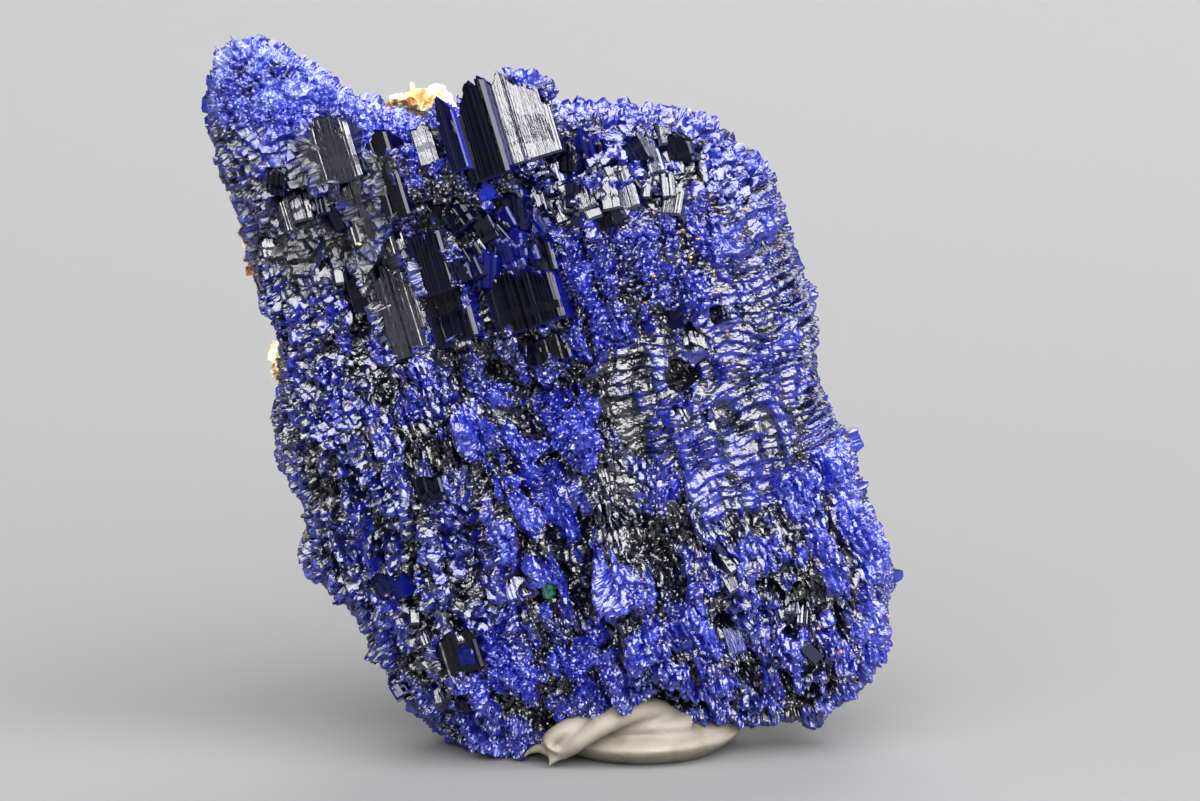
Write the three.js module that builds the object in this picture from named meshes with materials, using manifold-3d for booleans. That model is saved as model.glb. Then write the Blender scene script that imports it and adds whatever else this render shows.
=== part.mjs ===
// An azurite specimen: one mass of crystals grown together, a chunk of tan host rock on its back, a green
// malachite crystal in a pit on its front, and the lump of white putty that it stands on.
// Millimetres, +Z up, front facing -Y. The origin is on the surface it stands on, under the specimen's middle.
import * as THREE from "three";
import { ConvexGeometry } from "three/addons/geometries/ConvexGeometry.js";
import { ImprovedNoise } from "three/addons/math/ImprovedNoise.js";
import { mergeVertices } from "three/addons/utils/BufferGeometryUtils.js";
import Module from "manifold-3d";

// ---- driving dimensions ----
const GROWTH_LEAN = THREE.MathUtils.degToRad(17); // lean of the crystals' common axis to the left of upright
const CENTRE = { x: 0, z: 22.5 }; // middle of the mass, from which its outline is measured
const TOP_Z = 47.9;
const HALF_WIDTH = 22.8;
const FRONT_DEPTH = 8.8; // how far the front bulges from the middle plane
const BACK_DEPTH = 6.6;
const TOP_TAPER = 0.45; // share of the depth lost at the top edge
const FOOT_TAPER = 0.36; // share of the depth lost at the foot
const FOOT_HEIGHT = 9; // the foot widens to the full depth over this height
const BLUNTNESS = 3.6; // power of the superellipse of each cross-section: 2 is a sharp lens, more is blunter
const RELIEF_MARGIN = 5.5; // the relief of the front and back fades out this close to the outline
const SIDE_SWEEP = 2.4; // the left and right edges of the front lie this far behind its middle
const BACK_SWEEP_SHARE = 0.2; // the edges of the back lie back by this share of that
// Lumps of the surface: the size of each, and how far it can stand out or sink in.
const LUMPS = [{ size: 9, height: 1.7 }, { size: 4.4, height: 1.5 }, { size: 2.3, height: 0.5 }];
const BACK_LUMPS = [{ size: 6, height: 1.1 }];
const SECTIONS = 46; // cross-sections of the mass along the growth axis
const SECTION_POINTS = 70; // points round each of them
const FACE_SHARE = 1.8; // more than 1 puts more of these points on the front and back than on the edges
const GAP = 0.3; // between neighbouring pieces, at least
const DEPTH_OFFSET = 0.5; // brings the middle of the specimen's depth over the origin

// The edge of the mass seen from the front, clockwise from the tip of the horn, as [x, z]. A line across the
// growth axis meets it on the left and on the right, once each.
const OUTLINE = [
  [-21.0, TOP_Z], [-17.5, 47.2], [-14.8, 45.2], [-12.4, 43.6], [-9.8, 42.9], [-7.6, 42.5], [-5.5, 41.4],
  [-3.0, 41.6], [-0.6, 43.2], [1.5, 43.2], [5.8, 43.3], [8.5, 43.1], [10.6, 42.4], [12.2, 41.3],
  [14.5, 38.5], [15.5, 35.1], [16.3, 32.0], [17.6, 28.8], [17.3, 26.4], [17.9, 23.8], [20.0, 20.2],
  [20.4, 17.9], [22.3, 14.2], [22.8, 11.6], [22.7, 8.6], [22.1, 6.0], [19.7, 3.0], [17.8, 1.7], [14.5, 1.8],
  [11.2, 1.9], [8.4, 2.6], [5.8, 2.8], [2.6, 2.2], [-0.3, 1.0], [-2.5, 0.1], [-4.8, 0.0], [-6.7, 0.2],
  [-9.3, 2.4], [-11.1, 6.0], [-13.4, 10.1], [-15.4, 11.4], [-16.7, 13.9], [-16.2, 16.1], [-17.9, 19.6],
  [-18.6, 23.3], [-17.6, 25.4], [-18.4, 28.7], [-19.7, 32.2], [-20.6, 36.0], [-22.2, 39.9], [-22.7, 43.6],
  [-22.4, 46.1],
];

// Ridges (height above 0) and channels (below 0) that run along the growth axis on the front. across and
// from-to are measured in the growth frame: across the axis, and along it, from the middle of the mass.
const FLUTES = [
  { across: 1.9, from: -18.0, to: 1.0, halfWidth: 1.7, height: 1.5 },
  { across: -3.8, from: -9.0, to: 2.5, halfWidth: 1.7, height: 1.2 },
  { across: 6.4, from: -16.0, to: -6.0, halfWidth: 1.5, height: 1.1 },
  { across: -10.5, from: -16.0, to: -6.0, halfWidth: 1.9, height: 1.0 },
  { across: -1.1, from: -15.0, to: -2.0, halfWidth: 1.3, height: -1.4 },
  { across: 4.2, from: -17.0, to: -7.0, halfWidth: 1.2, height: -1.2 },
  { across: -7.0, from: -14.0, to: -2.0, halfWidth: 1.3, height: -1.1 },
  { across: 12.2, from: -9.0, to: 4.0, halfWidth: 1.2, height: -0.9 },
  { across: 17.0, from: -10.0, to: 0.0, halfWidth: 1.6, height: 0.8 },
];
// Bands across the growth axis where the front steps in, each below a ledge.
const LEDGES = [
  { along: 5.6, from: -10.5, to: 3.0, reach: 2.4, depth: 1.3 },
  { along: 16.4, from: -9.0, to: 0.0, reach: 2.0, depth: 0.9 },
];
// Pits sunk into the front, as a place on the face, a radius and a depth.
const PITS = [
  { x: -0.1, z: 24.6, radius: 1.3, depth: 1.8 },
  { x: 9.2, z: 26.4, radius: 1.2, depth: 1.9 },
  { x: 14.2, z: 10.4, radius: 1.2, depth: 1.9 },
  { x: -2.4, z: 23.4, radius: 1.1, depth: 1.3 },
  { x: -0.2, z: 13.0, radius: 1.0, depth: 1.1 },
];

// The large crystals that stand out of the mass. foot is the middle of the prism's lower end, [x, z], on the
// front, and its face stands proud of the mass there. The prism rises along the growth axis, tipped a further
// lean to the left, and turn spins it about its own axis.
const CRYSTALS = [
  { foot: [-5.6, 38.2], width: 2.3, depth: 2.8, length: 6.0, proud: 1.0, turn: 14, lean: -1 },
  { foot: [-3.2, 38.0], width: 3.3, depth: 3.4, length: 7.0, proud: 1.1, turn: -10, lean: -1 },
  { foot: [-0.4, 39.6], width: 4.2, depth: 3.2, length: 6.9, proud: 0.9, turn: 16, lean: 2 },
  { foot: [-9.9, 36.6], width: 2.2, depth: 2.8, length: 5.2, proud: 1.2, turn: 24, lean: -2 },
  { foot: [-13.8, 38.8], width: 4.0, depth: 2.8, length: 4.6, proud: 0.9, turn: -4, lean: 4 },
  { foot: [-11.3, 34.9], width: 3.2, depth: 2.8, length: 4.2, proud: 1.1, turn: -6, lean: 2 },
  { foot: [-8.7, 27.8], width: 4.6, depth: 3.6, length: 8.4, proud: 1.7, turn: -10, lean: 6 },
  { foot: [-5.3, 28.6], width: 4.0, depth: 3.4, length: 7.4, proud: 1.3, turn: 12, lean: 4 },
  { foot: [-1.0, 29.2], width: 6.0, depth: 3.4, length: 5.0, proud: 1.4, turn: 4, lean: 0 },
  { foot: [-0.4, 26.4], width: 3.8, depth: 3.0, length: 2.4, proud: 1.3, turn: 2, lean: 0 },
  { foot: [-6.0, 6.2], width: 4.2, depth: 3.0, length: 3.4, proud: 0.7, turn: -8, lean: 0 },
  { foot: [12.6, 11.2], width: 2.2, depth: 2.8, length: 4.2, proud: 0.9, turn: 10, lean: 0 },
  { foot: [3.9, 36.4], width: 3.0, depth: 2.6, length: 3.4, proud: 0.7, turn: -20, lean: 8 },
  { foot: [-8.4, 16.0], width: 2.4, depth: 2.6, length: 3.2, proud: 0.7, turn: 16, lean: 0 },
];
const SEAT_SHARE = 0.3; // a crystal stands proud of the mass by the stated amount at this share of its length
const WEDGE_SHARE = 0.32; // height of a crystal's wedge-shaped end, as a share of its width

// The host rock: broken blocks run together behind the mass, each with its middle, its three half sizes and a
// turn about the depth axis.
const ROCK_BLOCKS = [
  { at: [-9.6, 4.2, 40.2], half: [3.8, 3.2, 4.6], turn: 14 },
  { at: [-11.8, 6.0, 34.8], half: [6.4, 3.4, 5.2], turn: -14 },
  { at: [-12.4, 6.0, 28.8], half: [6.0, 3.4, 5.0], turn: 26 },
  { at: [-16.0, 2.6, 25.2], half: [3.2, 3.6, 3.2], turn: 40 },
  { at: [-6.6, 5.8, 31.6], half: [4.6, 3.0, 5.2], turn: 8 },
  { at: [-17.4, 3.2, 33.8], half: [3.6, 3.2, 3.8], turn: -30 },
];
const ROCK_CORNERS = 22; // corners of each broken block

const PUTTY_LOBE = { at: [6.0, -0.4, 1.2], radii: [6.9, 7.2, 2.7] };
const PUTTY_ROLL = [
  [7.4, -4.6, 2.5], [4.2, -6.1, 2.9], [1.2, -6.4, 2.3], [-0.9, -5.7, 1.2], [-2.1, -5.0, 0.5],
];
const PUTTY_ROLL_RADIUS = 1.3;
const PUTTY_SPAN = 60; // larger than the putty, for the block that cuts it off at the floor

const MALACHITE = { foot: [-0.2, 12.4], width: 0.7, length: 1.4, proud: 0.25 };

// ---- small helpers ----
const growthAxis = new THREE.Vector3(-Math.sin(GROWTH_LEAN), 0, Math.cos(GROWTH_LEAN));
const acrossAxis = new THREE.Vector3(Math.cos(GROWTH_LEAN), 0, Math.sin(GROWTH_LEAN));
const radians = THREE.MathUtils.degToRad;
const depthAxis = new THREE.Vector3(0, 1, 0);
const up = new THREE.Vector3(0, 0, 1);

const perlin = new ImprovedNoise();
const noise = (p, size) => perlin.noise(p.x / size + size, p.y / size, p.z / size - size);
const lumpsAt = (p, lumps) => lumps.reduce((sum, { size, height }) => sum + height * noise(p, size), 0);
const smoothStep = (middle, soft, value) => THREE.MathUtils.smoothstep(value, middle - soft, middle + soft);
const between = (from, to, soft, value) => smoothStep(from, soft, value) * (1 - smoothStep(to, soft, value));

// A place on the face in the growth frame, and back to the frame of the part at a depth y.
function growthPlace([x, z]) {
  const fromCentre = new THREE.Vector3(x - CENTRE.x, 0, z - CENTRE.z);
  return { across: fromCentre.dot(acrossAxis), along: fromCentre.dot(growthAxis) };
}
function partPlace({ across, along }, y) {
  const place = new THREE.Vector3(CENTRE.x, y, CENTRE.z);
  return place.addScaledVector(acrossAxis, across).addScaledVector(growthAxis, along);
}

const wasm = await Module();
wasm.setup();

function solidFrom(geometry) {
  const bare = geometry.index ? geometry.toNonIndexed() : geometry.clone();
  bare.deleteAttribute("normal");
  bare.deleteAttribute("uv");
  const merged = mergeVertices(bare, 1e-4);
  return new wasm.Manifold(
    new wasm.Mesh({
      numProp: 3,
      vertProperties: merged.attributes.position.array,
      triVerts: new Uint32Array(merged.index.array),
    }),
  );
}

function geometryFrom(solid) {
  const mesh = solid.getMesh();
  return new THREE.BufferGeometry()
    .setAttribute("position", new THREE.BufferAttribute(mesh.vertProperties, 3))
    .setIndex(new THREE.BufferAttribute(mesh.triVerts, 1));
}

// The largest connected body of a solid, so that a cut leaves no crumbs.
function mainBody(solid) {
  return solid.decompose().reduce((best, body) => (body.volume() > best.volume() ? body : best));
}

// ---- the crystal mass ----
const edge = OUTLINE.map(growthPlace);
const lowest = edge.reduce((best, corner) => (corner.along < best.along ? corner : best));
const highest = edge.reduce((best, corner) => (corner.along > best.along ? corner : best));

// Where a line across the growth axis meets the outline, on the left and on the right.
function reachAt(along) {
  const crossings = edge.flatMap((corner, i) => {
    const next = edge[(i + 1) % edge.length];
    const share = (along - corner.along) / (next.along - corner.along);
    return share >= 0 && share <= 1 ? [THREE.MathUtils.lerp(corner.across, next.across, share)] : [];
  });
  return { left: Math.min(...crossings), right: Math.max(...crossings) };
}

const edgeLines = edge.map((corner, i) => {
  return new THREE.Line3(partPlace(corner, 0), partPlace(edge[(i + 1) % edge.length], 0));
});

// How far a place on the face lies from the outline.
function edgeDistance(place) {
  const nearest = (line) => line.closestPointToPoint(place, true, new THREE.Vector3());
  return Math.min(...edgeLines.map((line) => nearest(line).distanceTo(place)));
}

// How far the front stands out beyond its plain bulge.
function frontRelief({ across, along }, x, z) {
  let height = 0;
  for (const flute of FLUTES) {
    const nearness = Math.exp(-(((across - flute.across) / flute.halfWidth) ** 2));
    height += flute.height * nearness * between(flute.from, flute.to, 1.2, along);
  }
  for (const ledge of LEDGES) {
    const under = between(ledge.along - ledge.reach, ledge.along, 0.5, along);
    height -= ledge.depth * under * between(ledge.from, ledge.to, 1.0, across);
  }
  for (const pit of PITS) {
    height -= pit.depth * Math.exp(-((Math.hypot(x - pit.x, z - pit.z) / pit.radius) ** 2));
  }
  return height;
}

// A point of the mass's cross-section at one place along the growth axis.
function sectionPoint(along, angle) {
  const { left, right } = reachAt(along);
  const cos = Math.cos(angle);
  const sin = FACE_SHARE * Math.sin(angle);
  const norm = (Math.abs(cos) ** BLUNTNESS + Math.abs(sin) ** BLUNTNESS) ** (1 / BLUNTNESS);
  const acrossShare = cos / norm;
  const depthShare = Math.abs(sin) / norm;
  const side = Math.sign(sin);
  const endShare = (2 * along - highest.along - lowest.along) / (highest.along - lowest.along);
  const place = { across: (left + right) / 2 + (acrossShare * (right - left)) / 2, along };
  const onFace = partPlace(place, 0);
  const { x, z } = onFace;
  const topTaper = 1 - TOP_TAPER * THREE.MathUtils.clamp(z / TOP_Z, 0, 1) ** 3;
  const footTaper = 1 - FOOT_TAPER * (1 - THREE.MathUtils.smoothstep(z, 0, FOOT_HEIGHT));
  const endTaper = (1 - Math.abs(endShare) ** BLUNTNESS) ** (1 / BLUNTNESS);
  const depth = (side < 0 ? FRONT_DEPTH : BACK_DEPTH) * topTaper * footTaper * endTaper;
  const point = partPlace(place, side * depthShare * depth);
  const relief = lumpsAt(point, LUMPS) + (side < 0 ? frontRelief(place, x, z) : lumpsAt(point, BACK_LUMPS));
  point.y += side * relief * THREE.MathUtils.smoothstep(edgeDistance(onFace), 0, RELIEF_MARGIN);
  point.y += SIDE_SWEEP * (x / HALF_WIDTH) ** 2 * (side < 0 ? 1 : BACK_SWEEP_SHARE);
  return point;
}

// Rings of points along the growth axis, closed by a point at each end.
function massGeometry() {
  const middleSweep = (SIDE_SWEEP * (1 + BACK_SWEEP_SHARE)) / 2;
  const sweep = (corner) => middleSweep * (partPlace(corner, 0).x / HALF_WIDTH) ** 2;
  const points = [partPlace(lowest, sweep(lowest))];
  for (let ring = 1; ring < SECTIONS; ring++) {
    const along = THREE.MathUtils.lerp(lowest.along, highest.along, ring / SECTIONS);
    for (let i = 0; i < SECTION_POINTS; i++) {
      points.push(sectionPoint(along, (2 * Math.PI * (i + 0.5)) / SECTION_POINTS));
    }
  }
  points.push(partPlace(highest, sweep(highest)));
  const last = points.length - 1;
  const faces = [];
  for (let i = 0; i < SECTION_POINTS; i++) {
    const next = (i + 1) % SECTION_POINTS;
    faces.push(0, 1 + next, 1 + i, last, last - SECTION_POINTS + i, last - SECTION_POINTS + next);
    for (let ring = 0; ring < SECTIONS - 2; ring++) {
      const below = 1 + ring * SECTION_POINTS;
      const above = below + SECTION_POINTS;
      faces.push(below + i, above + next, above + i, below + i, below + next, above + next);
    }
  }
  return new THREE.BufferGeometry().setFromPoints(points).setIndex(faces);
}

// A copy of a geometry with its surface moved outwards by margin.
function grown(geometry, margin) {
  const copy = geometry.clone();
  copy.computeVertexNormals();
  const { position, normal } = copy.attributes;
  for (let i = 0; i < position.count; i++) {
    const point = new THREE.Vector3().fromBufferAttribute(position, i);
    point.addScaledVector(new THREE.Vector3().fromBufferAttribute(normal, i), margin);
    position.setXYZ(i, ...point);
  }
  return copy;
}

// The depth of a surface seen from straight in front, at a place on the face.
function frontOf(mesh, [x, z]) {
  const eye = new THREE.Vector3(x, -100, z);
  return new THREE.Raycaster(eye, depthAxis).intersectObject(mesh)[0].point.y;
}

// An azurite prism, grown outwards by margin: a six-sided section and a wedge-shaped end.
function buildCrystal({ foot, width, depth, length, proud, turn, lean }, surface, margin = 0) {
  const w = width / 2 + margin;
  const d = depth / 2 + margin;
  const section = [
    [-w, 0.25 * d], [-0.62 * w, -d], [0.62 * w, -d], [w, -0.25 * d], [0.62 * w, d], [-0.62 * w, d],
  ];
  const shoulder = length - WEDGE_SHARE * width;
  const top = length + margin;
  const points = section.flatMap(([x, y]) => [-margin, shoulder].map((z) => new THREE.Vector3(x, y, z)));
  points.push(new THREE.Vector3(-0.3 * w, -0.35 * d, top), new THREE.Vector3(0.25 * w, 0.35 * d, top));
  const axis = growthAxis.clone().applyAxisAngle(depthAxis, -radians(lean));
  const upright = new THREE.Quaternion().setFromUnitVectors(up, axis);
  const spin = new THREE.Quaternion().setFromAxisAngle(up, radians(turn));
  const seat = foot.map((value, i) => value + SEAT_SHARE * length * axis.getComponent(2 * i));
  const at = new THREE.Vector3(foot[0], frontOf(surface, seat) - proud + depth / 2, foot[1]);
  const placed = points.map((point) => point.applyQuaternion(spin).applyQuaternion(upright).add(at));
  return solidFrom(new ConvexGeometry(placed));
}

// ---- the host rock on the back ----
// A broken block: the hull of corners spread evenly round a box-like ball.
function buildBlock({ at, half, turn }, seed) {
  const corners = Array.from({ length: ROCK_CORNERS }, (_, i) => {
    const height = 1 - (2 * (i + 0.5)) / ROCK_CORNERS;
    const angle = i * Math.PI * (3 - Math.sqrt(5)) + seed;
    const ring = Math.sqrt(1 - height * height);
    const corner = new THREE.Vector3(ring * Math.cos(angle), height, ring * Math.sin(angle));
    const largest = Math.max(...corner.toArray().map(Math.abs));
    corner.multiplyScalar((0.45 + 0.55 / largest) * (0.92 + 0.16 * Math.sin(5.3 * i + seed)));
    corner.multiply(new THREE.Vector3(...half)).applyAxisAngle(depthAxis, radians(turn));
    return corner.add(new THREE.Vector3(...at));
  });
  return solidFrom(new ConvexGeometry(corners));
}

// ---- the putty under the mass ----
function buildPutty() {
  const lobe = new THREE.SphereGeometry(1, 28, 14).scale(...PUTTY_LOBE.radii).translate(...PUTTY_LOBE.at);
  const path = new THREE.CatmullRomCurve3(PUTTY_ROLL.map((p) => new THREE.Vector3(...p)));
  const section = new THREE.Shape().absellipse(0, 0, PUTTY_ROLL_RADIUS, PUTTY_ROLL_RADIUS, 0, 2 * Math.PI);
  const roll = new THREE.ExtrudeGeometry(section, { extrudePath: path, steps: 8, curveSegments: 3 });
  const belowFloor = new THREE.BoxGeometry(PUTTY_SPAN, PUTTY_SPAN, PUTTY_SPAN);
  belowFloor.translate(0, 0, -PUTTY_SPAN / 2);
  return solidFrom(lobe).add(solidFrom(roll)).subtract(solidFrom(belowFloor));
}

// ---- the malachite crystal, and the pocket that it sits in ----
function buildMalachite({ foot, width, length, proud }, surface, margin = 0) {
  const geometry = new THREE.OctahedronGeometry(1, 0);
  geometry.scale(width / 2 + margin, width / 2 + margin, length / 2 + margin).rotateY(-GROWTH_LEAN);
  return solidFrom(geometry.translate(foot[0], frontOf(surface, foot) - proud + width / 2, foot[1]));
}

// ---- assembly ----
const finish = (color, roughness) => new THREE.MeshStandardMaterial({ color, roughness, metalness: 0 });
const azurite = finish(0x1420a0, 0.3);
const limonite = finish(0xd9b27c, 0.9);
const malachite = finish(0x0c7a48, 0.3);
const putty = finish(0xe9e4da, 0.55);

function pieceFrom(name, solid, material) {
  const mesh = new THREE.Mesh(geometryFrom(solid), material);
  mesh.name = name;
  return mesh;
}

const massShape = massGeometry();
const body = solidFrom(massShape);
const surface = new THREE.Mesh(geometryFrom(body), azurite);
const withCrystals = (solid, margin) =>
  CRYSTALS.reduce((joined, crystal) => joined.add(buildCrystal(crystal, surface, margin)), solid);
const pocket = buildMalachite(MALACHITE, surface, 2 * GAP);
const mass = mainBody(withCrystals(body, 0).subtract(pocket));
const clearance = withCrystals(solidFrom(grown(massShape, 1.5 * GAP)), GAP); // the neighbours are cut with it
const rock = ROCK_BLOCKS.map(buildBlock).reduce((joined, block) => joined.add(block));

const specimen = new THREE.Group();
specimen.position.y = DEPTH_OFFSET;
specimen.add(pieceFrom("azurite_crystal_mass", mass, azurite));
specimen.add(pieceFrom("host_rock", mainBody(rock.subtract(clearance)), limonite));
specimen.add(pieceFrom("malachite_crystal", buildMalachite(MALACHITE, surface), malachite));
specimen.add(pieceFrom("mounting_putty", mainBody(buildPutty().subtract(clearance)), putty));

export default specimen;
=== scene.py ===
"""The looks of the azurite specimen: druse, large striated crystals, host rock, malachite and putty.

Lengths are millimetres while a mesh is made, and metres once it is an object. A place on the front is (x, z):
x from the middle of the azurite's box and z from its foot.
"""

import math
from collections import namedtuple

import bpy
import numpy as np
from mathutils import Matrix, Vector
from mathutils.bvhtree import BVHTree


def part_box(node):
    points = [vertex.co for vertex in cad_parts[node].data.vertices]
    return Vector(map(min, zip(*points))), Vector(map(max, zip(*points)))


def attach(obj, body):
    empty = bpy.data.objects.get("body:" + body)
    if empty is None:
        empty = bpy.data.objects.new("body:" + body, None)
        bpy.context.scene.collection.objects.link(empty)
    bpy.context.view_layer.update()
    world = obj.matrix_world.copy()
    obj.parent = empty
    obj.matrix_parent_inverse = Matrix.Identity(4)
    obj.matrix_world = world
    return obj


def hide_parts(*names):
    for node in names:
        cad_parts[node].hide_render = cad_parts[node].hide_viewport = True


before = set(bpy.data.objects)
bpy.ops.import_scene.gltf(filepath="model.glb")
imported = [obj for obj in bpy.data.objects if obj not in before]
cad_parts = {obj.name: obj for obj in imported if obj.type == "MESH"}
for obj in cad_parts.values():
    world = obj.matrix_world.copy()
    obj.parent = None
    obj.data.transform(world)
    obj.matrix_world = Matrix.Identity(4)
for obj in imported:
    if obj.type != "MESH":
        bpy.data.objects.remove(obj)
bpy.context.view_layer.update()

MM = 0.001
BODY = "root"
SEED = 20

# ---------------------------------------- the frame's own places and directions

mass_low, mass_high = (np.array(corner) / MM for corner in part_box("azurite_crystal_mass"))
MASS_MIDDLE_X = (mass_low[0] + mass_high[0]) / 2
MASS_FOOT_Z = mass_low[2]

GROWTH_LEAN = math.radians(17)  # the crystals' common axis leans this far to the left of upright
GROWTH = np.array([-math.sin(GROWTH_LEAN), 0.0, math.cos(GROWTH_LEAN)])
ACROSS = np.array([math.cos(GROWTH_LEAN), 0.0, math.sin(GROWTH_LEAN)])

VIEW_ELEVATION = math.radians(10)  # places on the front are given as they look from this far above level
VIEW_SLOPE = math.tan(VIEW_ELEVATION)
VIEW_AIM = (3.2, 23.7)  # the place on the front that the view is centred on
VIEW_DISTANCE = 311.0


def on_front(points):
    """Points as places on the front, (x, z)."""
    nearer = 1 - points[:, 1] / VIEW_DISTANCE
    x = VIEW_AIM[0] + (points[:, 0] - MASS_MIDDLE_X - VIEW_AIM[0]) * nearer
    z = VIEW_AIM[1] + (points[:, 2] - MASS_FOOT_Z + points[:, 1] * VIEW_SLOPE - VIEW_AIM[1]) * nearer
    return x, z


def from_front(place, depth):
    """The point that a place on the front stands for, at a depth."""
    nearer = 1 - depth / VIEW_DISTANCE
    x = VIEW_AIM[0] + (place[0] - VIEW_AIM[0]) / nearer + MASS_MIDDLE_X
    z = VIEW_AIM[1] + (place[1] - VIEW_AIM[1]) / nearer - depth * VIEW_SLOPE + MASS_FOOT_Z
    return np.array([x, depth, z])


# ---------------------------------------- noise, worked out for whole arrays of points

CELL_CORNERS = [(i, j, k) for i in (0, 1) for j in (0, 1) for k in (0, 1)]
NEIGHBOURS = [(i, j, k) for i in (-1, 0, 1) for j in (-1, 0, 1) for k in (-1, 0, 1)]


def lattice_random(i, j, k, seed):
    """A number from 0 to 1 for each cell of a lattice."""
    mixed = (i * 374761393 + j * 668265263 + k * 2147483647 + seed * 1274126177) & 0xFFFFFFFF
    mixed = ((mixed ^ (mixed >> 13)) * 1274126177) & 0xFFFFFFFF
    mixed = ((mixed ^ (mixed >> 16)) * 2246822519) & 0xFFFFFFFF
    return ((mixed ^ (mixed >> 15)) & 0xFFFFFF) / 0xFFFFFF


def smooth_noise(points, size, seed):
    """Noise from -1 to 1 with lumps of that size, in millimetres. size may be three numbers, one an axis."""
    scaled = points / np.asarray(size, float)
    cell = np.floor(scaled).astype(np.int64)
    share = scaled - cell
    share = share * share * (3 - 2 * share)
    total = np.zeros(len(points))
    for di, dj, dk in CELL_CORNERS:
        weight = (share[:, 0] if di else 1 - share[:, 0]) * (share[:, 1] if dj else 1 - share[:, 1])
        weight = weight * (share[:, 2] if dk else 1 - share[:, 2])
        total += weight * lattice_random(cell[:, 0] + di, cell[:, 1] + dj, cell[:, 2] + dk, seed)
    return 2 * total - 1


def rough_noise(points, size, seed, octaves=3):
    """Several sizes of smooth noise added up, each half the size and half the strength of the last."""
    size = np.asarray(size, float)
    parts = [smooth_noise(points, size / 2**n, seed + n) / 2**n for n in range(octaves)]
    return sum(parts) / sum(0.5**n for n in range(octaves))


def growth_frame(points):
    """Points as (across, depth, along), in the frame of the growth axis."""
    return np.stack([points @ ACROSS, points[:, 1], points @ GROWTH], axis=1)


def smoothstep(low, high, value):
    share = np.clip((value - low) / (high - low), 0, 1)
    return share * share * (3 - 2 * share)


# ---------------------------------------- meshes and objects


def column(items, name, width=1, kind=np.float32):
    """One property of all of a mesh's vertices, edges, corners or faces, as an array."""
    values = np.empty(len(items) * width, kind)
    items.foreach_get(name, values)
    return values.reshape(-1, width) if width > 1 else values


def mesh_arrays(mesh):
    """A mesh's vertices, its vertex normals and its triangles."""
    mesh.calc_loop_triangles()
    points = column(mesh.vertices, "co", 3).astype(float)
    normals = column(mesh.vertex_normals, "vector", 3).astype(float)
    return points, normals, column(mesh.loop_triangles, "vertices", 3, np.int32)


def mesh_from(name, points, triangles, scale=1.0):
    """A mesh from arrays, with its points scaled."""
    mesh = bpy.data.meshes.new(name)
    mesh.vertices.add(len(points))
    mesh.vertices.foreach_set("co", np.ascontiguousarray(points * scale, np.float32).ravel())
    mesh.loops.add(len(triangles) * 3)
    mesh.loops.foreach_set("vertex_index", np.ascontiguousarray(triangles, np.int32).ravel())
    mesh.polygons.add(len(triangles))
    mesh.polygons.foreach_set("loop_start", np.arange(0, len(triangles) * 3, 3, dtype=np.int32))
    mesh.update(calc_edges=True)
    mesh.validate()
    return mesh


def object_from(mesh, name):
    """An object of that name in the scene."""
    piece = bpy.data.objects.new(name, mesh)
    bpy.context.scene.collection.objects.link(piece)
    return piece


def modified(mesh, set_up):
    """A mesh after the modifiers that set_up adds to it."""
    piece = object_from(mesh, "modified")
    set_up(piece)
    evaluated = piece.evaluated_get(bpy.context.evaluated_depsgraph_get())
    result = bpy.data.meshes.new_from_object(evaluated)
    bpy.data.objects.remove(piece)
    return result


def remeshed(mesh, voxel, smoothing=0):
    """A mesh in millimetres, remeshed in voxels of that size."""

    def set_up(piece):
        remesh = piece.modifiers.new("Remesh", "REMESH")
        remesh.mode = "VOXEL"
        remesh.voxel_size = voxel
        if smoothing:
            smooth = piece.modifiers.new("Smooth", "SMOOTH")
            smooth.iterations = smoothing

    return modified(mesh, set_up)


def node_mesh(node):
    """A copy of a CAD node's mesh, in millimetres."""
    points, _, triangles = mesh_arrays(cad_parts[node].data)
    return mesh_from(node + "_copy", points / MM, triangles)


def finish_piece(name, points, triangles, material, replaces=(), values=None, smooth=False):
    """Makes a visible piece from arrays in millimetres, with its named values at each vertex."""
    mesh = mesh_from(name, points, triangles, MM)
    for label, value in (values or {}).items():
        mesh.attributes.new(label, "FLOAT", "POINT").data.foreach_set("value", np.asarray(value, np.float32))
    mesh.polygons.foreach_set("use_smooth", np.full(len(mesh.polygons), smooth))
    mesh.materials.append(material)
    piece = object_from(mesh, name)
    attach(piece, BODY)
    for node in replaces:
        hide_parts(node)
    return piece


# ---------------------------------------- materials


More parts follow.
